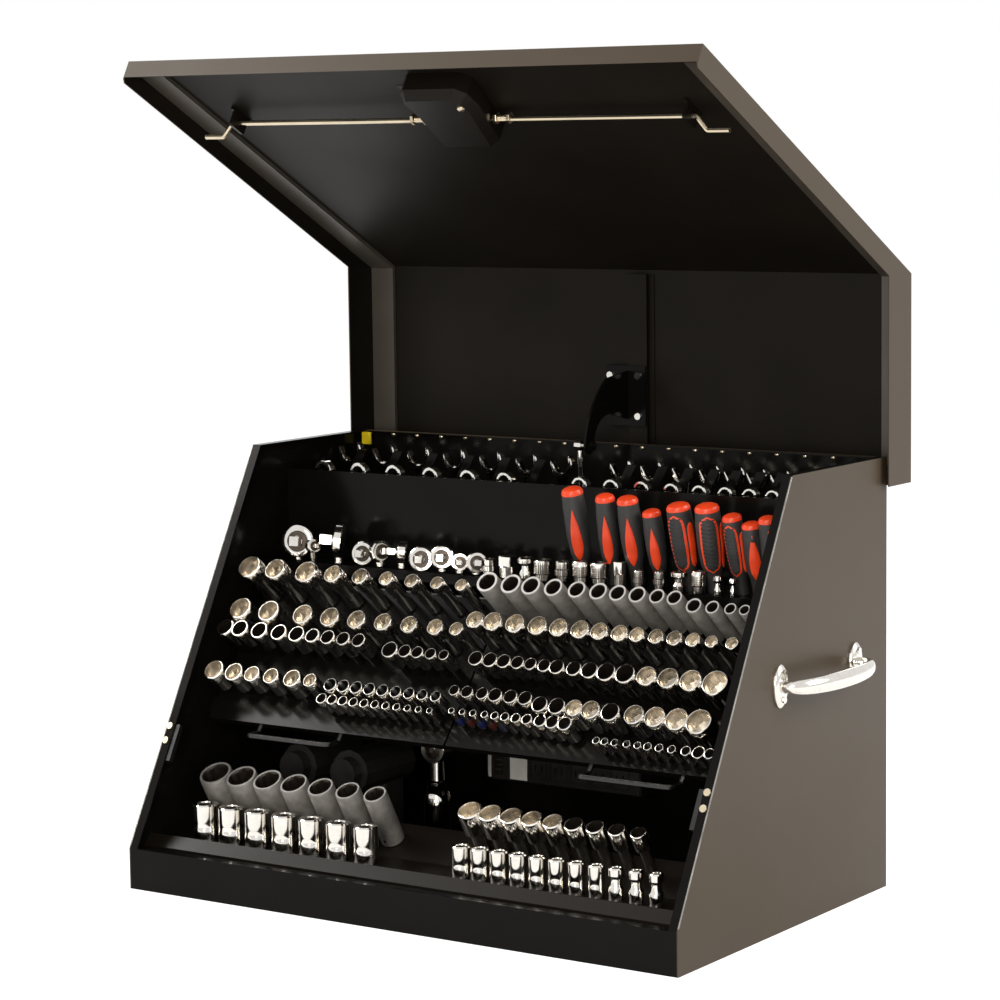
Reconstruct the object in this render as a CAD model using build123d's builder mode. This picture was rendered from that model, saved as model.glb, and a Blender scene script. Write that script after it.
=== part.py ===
"""Socket organizer box: a sloped steel chest with a lift-up lid, tool racks and two swing-up socket trays.

Units are millimetres.  X runs to the chest's right, Y to its back and Z up.  The origin is the
middle of the underside of the chest.  The lid is drawn open, 90 degrees back from closed.
"""
from build123d import *
import os
from math import atan2, cos, degrees, hypot, pi, radians, sin

os.makedirs("parts", exist_ok=True)

# ---------------------------------------------------------------- driving dimensions
# Chest
chest_width = 762.0
chest_depth = 476.0
chest_height = 510.0
front_lip_height = 49.0
top_depth = 225.0
sheet = 1.5
edge_flange = 12.0
lip_return = 14.0

# Lid
lid_overhang = 9.0
lid_top_gap = 12.0
lid_slope_gap = 17.0
lid_front_overrun = 14.0
lid_top_flange = 56.0
lid_slope_flange = 27.0
lid_front_flange = 21.0
edge_strip_width = 34.0
edge_strip_thickness = 5.0
stiffener_width = 40.0
stiffener_depth = 8.0

# Lid hinge
hinge_pin_radius = 1.5
hinge_pin_clearance = 0.05
leaf_thickness = 1.2
leaf_height = 20.0
hinge_drop = 29.5
hinge_knuckles = 7
knuckle_gap = 0.5
hinge_end_margin = 6.0

# Latch
rod_radius = 3.0
rod_clearance = 0.08
rod_standoff = 13.0
rod_station = 412.0
rod_end_reach = 361.0
rod_end_drop = 14.0
rod_crank_reach = 334.0
rod_inner_reach = 14.0
guide_reach = 312.0
guide_width = 4.0
guide_length = 26.0
cover_centre = 6.0
cover_width = 72.0
cover_depth = 40.0
cover_wall = 2.0
cam_radius = 16.0
cam_thickness = 3.0
spindle_radius = 5.0
spindle_clearance = 0.08
dish_length = 66.0
dish_width = 62.0
dish_depth = 10.2
dish_wall = 1.2
t_handle_length = 52.0
t_handle_width = 14.0
t_handle_thickness = 7.0

# Gas strut and its arm
strut_x = -6.0
arm_x = 5.0
arm_thickness = 3.0
arm_end_y = 180.0
arm_end_z = 511.0
arm_plate_width = 56.0
arm_plate_height = 74.0
strut_foot_y = 205.0
strut_foot_z = 150.0
strut_body_radius = 8.0
strut_rod_radius = 4.0
strut_bore_clearance = 0.08
strut_body_length = 215.0
strut_stud_radius = 4.0
strut_eye_radius = 7.0
strut_stud_gap = 0.4

# Socket trays
tray_angle = 50.0
tray_top_y = 23.3
tray_top_z = 338.9
tray_length = 198.0
tray_flange = 10.0
tray_side_gap = 4.0
tray_centre_gap = 3.0
tray_split_x = -14.0
tray_pivot_drop = 6.0
tray_pivot_rise = 4.0
tray_rod_radius = 3.0
tray_rod_clearance = 0.08
tray_ear_thickness = 3.0
peg_size = 5.0
peg_height = 9.0
bail_width = 120.0
bail_reach = 22.0
bail_radius = 3.0
bail_left_x = -226.0
bail_right_x = 246.0
bail_bend = 50.0

# Tool shelf and wrench racks
shelf_z = 366.0
shelf_front_y = 24.0
shelf_back_y = 80.0
shelf_lip = 12.0
fascia_top_z = 474.0
deck_z = 452.0
deck_back_y = 215.0
rack_channel_left = -19.0
rack_channel_right = 32.0
front_wrench_y = 101.0
rear_wrench_y = 184.0
wrench_shank_width = 9.0
wrench_shank_thickness = 4.0
slot_clearance = 0.6
finger_width = 13.0
finger_height = 44.0
finger_lean = 24.0
finger_y = 140.0

# Front tray
front_tray_z = 50.0
front_tray_front_y = -213.0
front_tray_flat = 80.0
front_tray_ramp = 58.0
front_tray_ramp_angle = 30.0
front_tray_lip = 11.0
front_socket_y = -156.0
ramp_seat = 29.0

# Carry handles, strikers and the power strip
handle_y = 69.0
handle_z = 279.0
handle_span = 176.0
handle_reach = 46.0
handle_bar_height = 17.0
handle_bar_thickness = 11.0
handle_foot_length = 46.0
handle_foot_width = 26.0
handle_foot_thickness = 6.0
striker_z = 168.0
striker_reach = 6.5
striker_height = 46.0
striker_thickness = 6.5
screw_head_radius = 4.5
screw_head_height = 2.5
strip_left_x = -166.0
strip_z = 98.0
strip_length = 230.0
strip_height = 40.0
strip_depth = 36.0
outlet_size = 27.0
outlet_pitch = 30.0
outlet_count = 5
seat_gap = 0.3

# ---------------------------------------------------------------- worked-out places
half_width = chest_width / 2
front_y = -chest_depth / 2
back_y = chest_depth / 2
slope_top_y = back_y - top_depth
slope_rise = chest_height - front_lip_height
slope_run = slope_top_y - front_y
slope_angle = degrees(atan2(slope_rise, slope_run))
slope_length = hypot(slope_rise, slope_run)
inner_half_width = half_width - sheet

knuckle_radius = hinge_pin_radius + hinge_pin_clearance + leaf_thickness
hinge_y = back_y + knuckle_radius
hinge_z = chest_height - hinge_drop

# The lid's outer corner, first closed and then turned back about the hinge.
closed_corner_z = chest_height + lid_top_gap
closed_corner_y = slope_top_y - (lid_slope_gap - cos(radians(slope_angle)) * lid_top_gap) / sin(radians(slope_angle))
lid_back_y = hinge_y + closed_corner_z - hinge_z
lid_corner_z = hinge_z - (closed_corner_y - hinge_y)
lid_bottom_z = hinge_z - knuckle_radius - sheet
panel_rise = 90.0 - slope_angle
panel_length = slope_length + lid_front_overrun
lid_half_width = half_width + lid_overhang

panel_cos = cos(radians(panel_rise))
panel_sin = sin(radians(panel_rise))
tray_cos = cos(radians(tray_angle))
tray_sin = sin(radians(tray_angle))


def yz_plane(x):
    """A plane across the chest at x, whose sketch x is Y and whose sketch y is Z."""
    return Plane(origin=(x, 0, 0), x_dir=(0, 1, 0), z_dir=(1, 0, 0))


def panel_plane(x, station, depth):
    """On the lid's long panel: sketch y runs from its corner to its front, z into the chest."""
    y = lid_back_y - station * panel_cos - depth * panel_sin
    z = lid_corner_z + station * panel_sin - depth * panel_cos
    return Plane(origin=(x, y, z), x_dir=(1, 0, 0), z_dir=(0, -panel_sin, -panel_cos))


def tray_plane(x, station, height):
    """On a socket tray: station runs down the slope, height stands off the tray's face."""
    y = tray_top_y - station * tray_cos - height * tray_sin
    z = tray_top_z - station * tray_sin + height * tray_cos
    return Plane(origin=(x, y, z), x_dir=(1, 0, 0), z_dir=(0, -tray_sin, tray_cos))


def finish(part, name):
    """Label a finished piece and write it."""
    part.label = name
    export_step(part, "parts/" + name + ".step")


# ---------------------------------------------------------------- chest shell
chest_outline = [
    (front_y, 0),
    (back_y, 0),
    (back_y, chest_height),
    (slope_top_y, chest_height),
    (front_y, front_lip_height),
]


def side_panel(side):
    """A side sheet with its front, slope and top edges turned inwards."""
    outer_x = side * half_width
    with BuildPart() as panel:
        with BuildSketch(yz_plane(outer_x)):
            with BuildLine():
                Polyline(*chest_outline, close=True)
            make_face()
        extrude(amount=-side * edge_flange)
        with BuildSketch(yz_plane(outer_x - side * sheet)):
            with BuildLine():
                Polyline(
                    (front_y + sheet, -1),
                    (back_y + 1, -1),
                    (back_y + 1, chest_height - sheet),
                    (slope_top_y + sheet * (1 - cos(radians(slope_angle))) / sin(radians(slope_angle)),
                     chest_height - sheet),
                    (front_y + sheet,
                     front_lip_height - sheet * (1 - sin(radians(slope_angle))) / cos(radians(slope_angle))),
                    close=True,
                )
            make_face()
        extrude(amount=-side * edge_flange, mode=Mode.SUBTRACT)
        # the lower corner is left open for the floor pan's front lip and floor
        with BuildSketch(yz_plane(outer_x - side * sheet)):
            with BuildLine():
                Polyline(
                    (front_y - 1, -1),
                    (front_y + sheet * 2, -1),
                    (front_y + sheet * 2, front_lip_height),
                    (front_y - 1, front_lip_height),
                    close=True,
                )
            make_face()
        extrude(amount=-side * edge_flange, mode=Mode.SUBTRACT)
    return panel.part


side_panel_right = side_panel(1)
side_panel_left = side_panel(-1)
finish(side_panel_right, "side_panel_right")
finish(side_panel_left, "side_panel_left")

# Back sheet between the sides, with its top edge turned forward.
with BuildPart() as back_panel:
    with BuildSketch(yz_plane(-inner_half_width)):
        with BuildLine():
            Polyline(
                (back_y, sheet),
                (back_y, chest_height),
                (back_y - edge_flange, chest_height),
                (back_y - edge_flange, chest_height - sheet),
                (back_y - sheet, chest_height - sheet),
                (back_y - sheet, sheet),
                close=True,
            )
        make_face()
    extrude(amount=2 * inner_half_width)
    # the top edge is notched for the side panels' own turned edges
    for side in (-1, 1):
        with BuildSketch(Plane.XY.offset(chest_height)):
            with Locations((side * (half_width - edge_flange / 2), back_y - edge_flange / 2)):
                Rectangle(edge_flange + 2 * seat_gap, edge_flange)
        extrude(amount=-sheet, mode=Mode.SUBTRACT)
back_panel = back_panel.part
finish(back_panel, "back_panel")

# Floor pan: the bottom sheet, the front lip and the lip's return.
with BuildPart() as floor_pan:
    with BuildSketch(yz_plane(-inner_half_width)):
        with BuildLine():
            Polyline(
                (back_y, 0),
                (front_y, 0),
                (front_y, front_lip_height),
                (front_y + lip_return, front_lip_height),
                (front_y + lip_return, front_lip_height - sheet),
                (front_y + sheet, front_lip_height - sheet),
                (front_y + sheet, sheet),
                (back_y, sheet),
                close=True,
            )
        make_face()
    extrude(amount=2 * inner_half_width)
    # the return stops short of the side panels' turned edges
    for side in (-1, 1):
        with BuildSketch(Plane.XY.offset(front_lip_height + 1)):
            with Locations((side * (half_width - edge_flange / 2), front_y + lip_return)):
                Rectangle(edge_flange + 2 * seat_gap, 2 * (lip_return - 2 * sheet - seat_gap))
        extrude(amount=-2 * sheet, mode=Mode.SUBTRACT)
floor_pan = floor_pan.part
finish(floor_pan, "floor_pan")

# ---------------------------------------------------------------- lid
lid_inner_half = lid_half_width - sheet


def panel_point(station, depth):
    """A Y-Z point on the long panel."""
    return (
        lid_back_y - station * panel_cos - depth * panel_sin,
        lid_corner_z + station * panel_sin - depth * panel_cos,
    )


# where the inner faces of the two panels meet
inner_corner_station = sheet * (1 - panel_sin) / panel_cos
with BuildPart() as lid_skin:
    with BuildSketch(yz_plane(-lid_inner_half)):
        with BuildLine():
            Polyline(
                (hinge_y, lid_bottom_z),
                (lid_back_y, lid_bottom_z),
                (lid_back_y, lid_corner_z),
                panel_point(panel_length, 0),
                panel_point(panel_length, lid_front_flange),
                panel_point(panel_length - sheet, lid_front_flange),
                panel_point(panel_length - sheet, sheet),
                panel_point(inner_corner_station, sheet),
                (lid_back_y - sheet, lid_bottom_z + sheet),
                (hinge_y, lid_bottom_z + sheet),
                close=True,
            )
        make_face()
    extrude(amount=2 * lid_inner_half)
    # opening for the latch dish
    with BuildSketch(panel_plane(cover_centre, rod_station, -1)):
        Rectangle(dish_width, dish_length)
    extrude(amount=sheet + 2, mode=Mode.SUBTRACT)
lid_skin = lid_skin.part
finish(lid_skin, "lid_skin")

# where the inner edges of the two side flanges meet
flange_corner_station = (lid_top_flange - lid_slope_flange * panel_sin) / panel_cos


def lid_side(side):
    """The flat side of the lid, deep along the top panel and shallow along the long panel."""
    with BuildPart() as flank:
        with BuildSketch(yz_plane(side * lid_half_width)):
            with BuildLine():
                Polyline(
                    (lid_back_y, lid_bottom_z),
                    (lid_back_y, lid_corner_z),
                    panel_point(panel_length, 0),
                    panel_point(panel_length, lid_slope_flange - 4),
                    panel_point(panel_length - 4, lid_slope_flange),
                    panel_point(flange_corner_station, lid_slope_flange),
                    (lid_back_y - lid_top_flange, lid_bottom_z),
                    close=True,
                )
            make_face()
        extrude(amount=-side * sheet)
    return flank.part


lid_side_right = lid_side(1)
lid_side_left = lid_side(-1)
finish(lid_side_right, "lid_side_right")
finish(lid_side_left, "lid_side_left")

# Edge strips: the folded channels that line the lid's inside along both ends.
strip_corner_station = (sheet + edge_strip_thickness) * (1 - panel_sin) / panel_cos
strip_front_station = panel_length - sheet
strip_foot_z = lid_bottom_z + sheet
with BuildPart() as edge_strips:
    for side in (-1, 1):
        with BuildSketch(yz_plane(side * lid_inner_half)):
            with BuildLine():
                Polyline(
                    (lid_back_y - sheet, strip_foot_z),
                    panel_point(inner_corner_station, sheet),
                    panel_point(strip_front_station, sheet),
                    panel_point(strip_front_station, sheet + edge_strip_thickness),
                    panel_point(strip_corner_station, sheet + edge_strip_thickness),
                    (lid_back_y - sheet - edge_strip_thickness, strip_foot_z),
                    close=True,
                )
            make_face()
        extrude(amount=-side * edge_strip_width)
edge_strips = edge_strips.part
finish(edge_strips, "lid_edge_strips")

# Vertical stiffener in the middle of the top panel: a hat-shaped channel.
stiffener_top_z = lid_corner_z - 6
stiffener_wing = 7.0
with BuildPart() as stiffener:
    with BuildSketch(Plane.XY.offset(lid_bottom_z + sheet + leaf_height)):
        inner_y = lid_back_y - sheet
        centre_x = stiffener_width / 2
        half_hat = stiffener_width / 2 - stiffener_wing
        with BuildLine():
            Polyline(
                (centre_x - stiffener_width / 2, inner_y),
                (centre_x - stiffener_width / 2, inner_y - sheet),
                (centre_x - half_hat, inner_y - sheet),
                (centre_x - half_hat, inner_y - stiffener_depth),
                (centre_x + half_hat, inner_y - stiffener_depth),
                (centre_x + half_hat, inner_y - sheet),
                (centre_x + stiffener_width / 2, inner_y - sheet),
                (centre_x + stiffener_width / 2, inner_y),
                (centre_x + half_hat - sheet, inner_y),
                (centre_x + half_hat - sheet, inner_y - stiffener_depth + sheet),
                (centre_x - half_hat + sheet, inner_y - stiffener_depth + sheet),
                (centre_x - half_hat + sheet, inner_y),
                close=True,
            )
        make_face()
    extrude(amount=stiffener_top_z - lid_bottom_z - sheet - leaf_height)
stiffener = stiffener.part
finish(stiffener, "lid_stiffener")

# ---------------------------------------------------------------- piano hinge
hinge_length = 2 * (lid_inner_half - hinge_end_margin - edge_strip_width)
knuckle_length = hinge_length / hinge_knuckles


def hinge_leaf(plate_corners, first):
    """A leaf with every second knuckle, starting at number first."""
    with BuildPart() as leaf:
        with BuildSketch(yz_plane(-hinge_length / 2)):
            with BuildLine():
                Polyline(*plate_corners, close=True)
            make_face()
        extrude(amount=hinge_length)
        for number in range(hinge_knuckles):
            start = -hinge_length / 2 + number * knuckle_length
            with BuildSketch(yz_plane(start + knuckle_gap / 2)):
                with Locations((hinge_y, hinge_z)):
                    Circle(knuckle_radius + (0 if number % 2 == first else knuckle_gap))
            extrude(
                amount=knuckle_length - knuckle_gap if number % 2 == first else knuckle_length,
                mode=Mode.ADD if number % 2 == first else Mode.SUBTRACT,
            )
        with BuildSketch(yz_plane(-hinge_length / 2 - 1)):
            with Locations((hinge_y, hinge_z)):
                Circle(hinge_pin_radius + hinge_pin_clearance)
        extrude(amount=hinge_length + 2, mode=Mode.SUBTRACT)
    return leaf.part


chest_leaf = hinge_leaf(
    [
        (hinge_y - knuckle_radius, hinge_z),
        (hinge_y - knuckle_radius, hinge_z + leaf_height),
        (hinge_y - knuckle_radius + leaf_thickness, hinge_z + leaf_height),
        (hinge_y - knuckle_radius + leaf_thickness, hinge_z),
    ],
    0,
)
lid_leaf = hinge_leaf(
    [
        (hinge_y, hinge_z - knuckle_radius),
        (hinge_y + leaf_height, hinge_z - knuckle_radius),
        (hinge_y + leaf_height, hinge_z - knuckle_radius + leaf_thickness),
        (hinge_y, hinge_z - knuckle_radius + leaf_thickness),
    ],
    1,
)
finish(chest_leaf, "hinge_leaf_chest")
finish(lid_leaf, "hinge_leaf_lid")

with BuildPart() as hinge_pin:
    with BuildSketch(yz_plane(-hinge_length / 2)):
        with Locations((hinge_y, hinge_z)):
            Circle(hinge_pin_radius)
    extrude(amount=hinge_length)
hinge_pin = hinge_pin.part
finish(hinge_pin, "hinge_pin")

# ---------------------------------------------------------------- latch
rod_depth = sheet + rod_standoff


def latch_rod(side):
    """A round rod from the latch cam to its cranked end."""
    bend_x = guide_reach + guide_width / 2 + 6
    crank_x = rod_crank_reach
    end_station = rod_station - rod_end_drop / 2
    corners = [
        panel_plane(side * rod_inner_reach + cover_centre, rod_station, rod_depth).origin,
        panel_plane(side * bend_x, rod_station, rod_depth).origin,
        panel_plane(side * crank_x, end_station, rod_depth + rod_end_drop).origin,
        panel_plane(side * rod_end_reach, end_station, rod_depth + rod_end_drop).origin,
    ]
    with BuildPart() as rod:
        with BuildLine() as route:
            FilletPolyline(*corners, radius=5)
        with BuildSketch(Plane(origin=route.line @ 0, z_dir=route.line % 0)):
            RegularPolygon(rod_radius, 8)
        sweep()
    return rod.part


finish(latch_rod(1), "latch_rod_right")
finish(latch_rod(-1), "latch_rod_left")

with BuildPart() as rod_guides:
    for side in (-1, 1):
        inner_x = side * guide_reach - guide_width / 2
        guide_start = panel_plane(inner_x, rod_station, 0)
        guide_yz = Plane(origin=guide_start.origin, x_dir=guide_start.y_dir, z_dir=(1, 0, 0))
        with BuildSketch(guide_yz):
            with Locations((0, sheet + (rod_standoff + 9) / 2)):
                RectangleRounded(guide_length, rod_standoff + 9, 3)
            with Locations((0, sheet + 2)):
                Rectangle(guide_length + 10, 4)
            with Locations((0, rod_depth)):
                Circle(rod_radius + rod_clearance, mode=Mode.SUBTRACT)
        extrude(amount=guide_width)
finish(rod_guides.part, "latch_rod_guides")

# Wedge-shaped cover over the latch: outline in station and depth.
cover_profile = [
    (rod_station - 38, sheet),
    (rod_station - 34, cover_depth - 8),
    (rod_station + 10, cover_depth),
    (rod_station + 96, sheet + 7),
    (rod_station + 100, sheet),
]
cover_hollow = [
    (rod_station - 38 + cover_wall, sheet - 1),
    (rod_station - 34 + cover_wall, cover_depth - 8 - cover_wall),
    (rod_station + 10 - 0.3, cover_depth - cover_wall - 0.2),
    (rod_station + 96 - cover_wall, sheet + 7 - cover_wall + 0.4),
    (rod_station + 96 - cover_wall, sheet - 1),
]


def cover_plane(x):
    """Across the lid at x: sketch x is the station, sketch y the depth."""
    corner = panel_plane(x, 0, 0)
    return Plane(origin=corner.origin, x_dir=corner.y_dir, z_dir=(1, 0, 0))


with BuildPart() as latch_cover:
    with BuildSketch(cover_plane(cover_centre - cover_width / 2)):
        with BuildLine():
            Polyline(*cover_profile, close=True)
        make_face()
    extrude(amount=cover_width)
    with BuildSketch(cover_plane(cover_centre - cover_width / 2 + cover_wall)):
        with BuildLine():
            Polyline(*cover_hollow, close=True)
        make_face()
    extrude(amount=cover_width - 2 * cover_wall, mode=Mode.SUBTRACT)
    # ears for the two cover screws
    with BuildSketch(panel_plane(cover_centre, rod_station + 50, sheet)):
        Rectangle(cover_width + 24, 16)
        Rectangle(cover_width - 2 * cover_wall, 18, mode=Mode.SUBTRACT)
    extrude(amount=cover_wall)
    # slots that let the rods through the side walls
    with BuildSketch(panel_plane(cover_centre, rod_station, sheet)):
        Rectangle(cover_width + 2, 2 * rod_radius + 3)
    extrude(amount=rod_standoff + rod_radius + 2, mode=Mode.SUBTRACT)
finish(latch_cover.part, "latch_cover")

with BuildPart() as cover_screws:
    for side in (-1, 1):
        with BuildSketch(
            panel_plane(cover_centre + side * (cover_width / 2 + 6), rod_station + 50, sheet + cover_wall)
        ):
            RegularPolygon(screw_head_radius, 6)
        extrude(amount=screw_head_height)
finish(cover_screws.part, "latch_cover_screws")

# Dish sunk in the outside of the lid, with the turning handle in it.
with BuildPart() as latch_dish:
    with BuildSketch(panel_plane(cover_centre, rod_station, -dish_wall)):
        RectangleRounded(dish_width + 12, dish_length + 12, 8)
    extrude(amount=dish_wall)
    with BuildSketch(panel_plane(cover_centre, rod_station, 0)):
        RectangleRounded(dish_width - 2 * seat_gap, dish_length - 2 * seat_gap, 4)
    extrude(amount=dish_depth)
    with BuildSketch(panel_plane(cover_centre, rod_station, -dish_wall - 1)):
        RectangleRounded(dish_width - 2 * dish_wall - 2, dish_length - 2 * dish_wall - 2, 3)
    extrude(amount=dish_depth + 1, mode=Mode.SUBTRACT)
    with BuildSketch(panel_plane(cover_centre, rod_station, 0)):
        Circle(spindle_radius + spindle_clearance)
    extrude(amount=dish_depth + 1, mode=Mode.SUBTRACT)
finish(latch_dish.part, "latch_dish")

cam_depth = rod_depth + rod_radius + 0.6
with BuildPart() as latch_handle:
    with BuildSketch(panel_plane(cover_centre, rod_station, 0.6)):
        RectangleRounded(t_handle_width, t_handle_length, 5)
    extrude(amount=t_handle_thickness)
    with BuildSketch(panel_plane(cover_centre, rod_station, 0.6)):
        Circle(spindle_radius + 5)
    extrude(amount=t_handle_thickness + 0.6)
    with BuildSketch(panel_plane(cover_centre, rod_station, 0.6)):
        Circle(spindle_radius)
    extrude(amount=cam_depth - 0.6)
finish(latch_handle.part, "latch_handle")

with BuildPart() as latch_cam:
    with BuildSketch(panel_plane(cover_centre, rod_station, cam_depth)):
        SlotCenterToCenter(2 * cam_radius, 2 * spindle_radius + 6, rotation=90)
    extrude(amount=cam_thickness)
    with BuildSketch(panel_plane(cover_centre, rod_station, cam_depth + cam_thickness)):
        RegularPolygon(spindle_radius + 1, 6)
    extrude(amount=4)
finish(latch_cam.part, "latch_cam")

# ---------------------------------------------------------------- gas strut
lid_inner_y = lid_back_y - sheet
arm_plate_y = lid_inner_y - stiffener_depth
arm_plate_z = lid_bottom_z + 52
arm_root_y = arm_plate_y - sheet * 2
arm_top_z = arm_plate_z + arm_plate_height - 6
with BuildPart() as strut_arm:
    # plate against the stiffener, with a packing block down to the lid on its left
    with BuildSketch(Plane.XY.offset(arm_plate_z)):
        with Locations(((arm_x + arm_thickness / 2) - 2, arm_root_y + sheet)):
            Rectangle(arm_plate_width, 2 * sheet)
        with Locations((-arm_plate_width / 2 + 10, (arm_plate_y + lid_inner_y) / 2)):
            Rectangle(16, stiffener_depth)
    extrude(amount=arm_plate_height)
    # the web arches forward and down to the strut's stud
    with BuildSketch(yz_plane(arm_x)):
        with BuildLine():
            outer_start = (arm_root_y, arm_top_z)
            outer_knee = (arm_end_y + 42, arm_top_z - 6)
            outer_end = (arm_end_y - 9, arm_end_z + 4)
            toe_right = (arm_end_y + 10, arm_end_z - 2)
            inner_knee = (arm_end_y + 48, arm_end_z + 35)
            inner_start = (arm_root_y, arm_plate_z + 8)
            Line(outer_start, outer_knee)
            ThreePointArc(outer_knee, (arm_end_y + 8, arm_end_z + 46), outer_end)
            ThreePointArc(outer_end, (arm_end_y - 2, arm_end_z - 10), toe_right)
            ThreePointArc(toe_right, (arm_end_y + 20, arm_end_z + 24), inner_knee)
            Line(inner_knee, inner_start)
            Line(inner_start, outer_start)
        make_face()
    extrude(amount=arm_thickness)
    # nut on the far side of the stud
    with BuildSketch(yz_plane(arm_x + arm_thickness)):
        with Locations((arm_end_y, arm_end_z)):
            RegularPolygon(6.5, 6)
    extrude(amount=6)
finish(strut_arm.part, "strut_arm")

with BuildPart() as arm_screws:
    screw_plane = Plane(origin=(0, arm_root_y, 0), x_dir=(1, 0, 0), z_dir=(0, -1, 0))
    with BuildSketch(screw_plane):
        for screw_x, screw_drop in ((-18, 12), (22, 12), (22, 62)):
            with Locations((screw_x, arm_plate_z + arm_plate_height - screw_drop)):
                RegularPolygon(screw_head_radius, 8)
    extrude(amount=screw_head_height)
finish(arm_screws.part, "strut_arm_screws")

strut_run = arm_end_y - strut_foot_y
strut_rise = arm_end_z - strut_foot_z
strut_open_length = hypot(strut_run, strut_rise)
strut_direction = (0, strut_run / strut_open_length, strut_rise / strut_open_length)


def strut_plane(distance):
    """Across the strut, at a distance from its foot."""
    y = strut_foot_y + strut_direction[1] * distance
    z = strut_foot_z + strut_direction[2] * distance
    return Plane(origin=(strut_x, y, z), x_dir=(1, 0, 0), z_dir=strut_direction)


strut_body_start = 12.0
strut_body_end = strut_body_start + strut_body_length
strut_rod_tail = 98.0
with BuildPart() as strut_cylinder:
    with BuildSketch(strut_plane(strut_body_start)):
        Circle(strut_body_radius)
    extrude(amount=strut_body_length)
    with BuildSketch(yz_plane(strut_x - 4)):
        with Locations((strut_foot_y, strut_foot_z)):
            Circle(strut_eye_radius)
    extrude(amount=8)
    with BuildSketch(strut_plane(0)):
        Circle(4.5)
    extrude(amount=strut_body_start + 1)
    with BuildSketch(yz_plane(strut_x - 5)):
        with Locations((strut_foot_y, strut_foot_z)):
            Circle(strut_stud_radius + strut_bore_clearance)
    extrude(amount=10, mode=Mode.SUBTRACT)
    with BuildSketch(strut_plane(strut_body_end + 1)):
        Circle(strut_rod_radius + strut_bore_clearance)
    extrude(amount=-(strut_body_length - 6), mode=Mode.SUBTRACT)
finish(strut_cylinder.part, "strut_cylinder")

with BuildPart() as strut_rod:
    with BuildSketch(strut_plane(strut_open_length)):
        Circle(strut_rod_radius)
    extrude(amount=-(strut_open_length - strut_body_end + strut_rod_tail))
    with BuildSketch(yz_plane(strut_x - 4.5)):
        with Locations((arm_end_y, arm_end_z)):
            Circle(strut_eye_radius)
    extrude(amount=9)
    with BuildSketch(yz_plane(strut_x - 6)):
        with Locations((arm_end_y, arm_end_z)):
            Circle(strut_stud_radius)
    extrude(amount=arm_x - strut_x + 6 - strut_stud_gap)
finish(strut_rod.part, "strut_rod")

with BuildPart() as strut_foot:
    # plate on the back panel, a lug reaching forward and the stud through the strut's eye
    foot_plane = Plane(origin=(0, back_y - sheet, 0), x_dir=(1, 0, 0), z_dir=(0, -1, 0))
    with BuildSketch(foot_plane):
        with Locations((strut_x + 14, strut_foot_z)):
            Rectangle(36, 44)
    extrude(amount=2.5)
    with BuildSketch(yz_plane(strut_x + 5)):
        with BuildLine():
            Polyline(
                (back_y - sheet - 2, strut_foot_z + 20),
                (strut_foot_y, strut_foot_z + 8),
                (strut_foot_y - 7, strut_foot_z + 3),
                (strut_foot_y - 7, strut_foot_z - 4),
                (back_y - sheet - 2, strut_foot_z - 20),
                close=True,
            )
        make_face()
    extrude(amount=3)
    with BuildSketch(yz_plane(strut_x - 7)):
        with Locations((strut_foot_y, strut_foot_z)):
            Circle(strut_stud_radius)
    extrude(amount=13)
finish(strut_foot.part, "strut_foot")

# ---------------------------------------------------------------- tool shelf and wrench racks
screwdriver_y = 42.0
screwdriver_xs = (82, 121, 155, 187, 226, 259, 295, 316, 338)
screwdriver_bore = 6.0
with BuildPart() as tool_shelf:
    with BuildSketch(yz_plane(-inner_half_width)):
        with BuildLine():
            Polyline(
                (shelf_back_y, fascia_top_z),
                (shelf_back_y + sheet, fascia_top_z),
                (shelf_back_y + sheet, shelf_z - sheet),
                (shelf_front_y + sheet, shelf_z - sheet),
                (shelf_front_y + sheet, shelf_z - shelf_lip),
                (shelf_front_y, shelf_z - shelf_lip),
                (shelf_front_y, shelf_z),
                (shelf_back_y, shelf_z),
                close=True,
            )
        make_face()
    extrude(amount=2 * inner_half_width)
    with BuildSketch(Plane.XY.offset(shelf_z + 1)):
        for x in screwdriver_xs:
            with Locations((x, screwdriver_y)):
                RegularPolygon(screwdriver_bore, 8)
    extrude(amount=-sheet - 2, mode=Mode.SUBTRACT)
finish(tool_shelf.part, "tool_shelf")

rear_wrench_xs = (-357, -304, -249, -194, -139, -85, -34, 52, 95, 139, 176, 210, 240, 272, 300, 326, 350)
front_wrench_xs = (-337, -282, -228, -172, -116, -62, 46, 90, 132, 173, 211, 246, 278, 308, 336)


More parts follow.
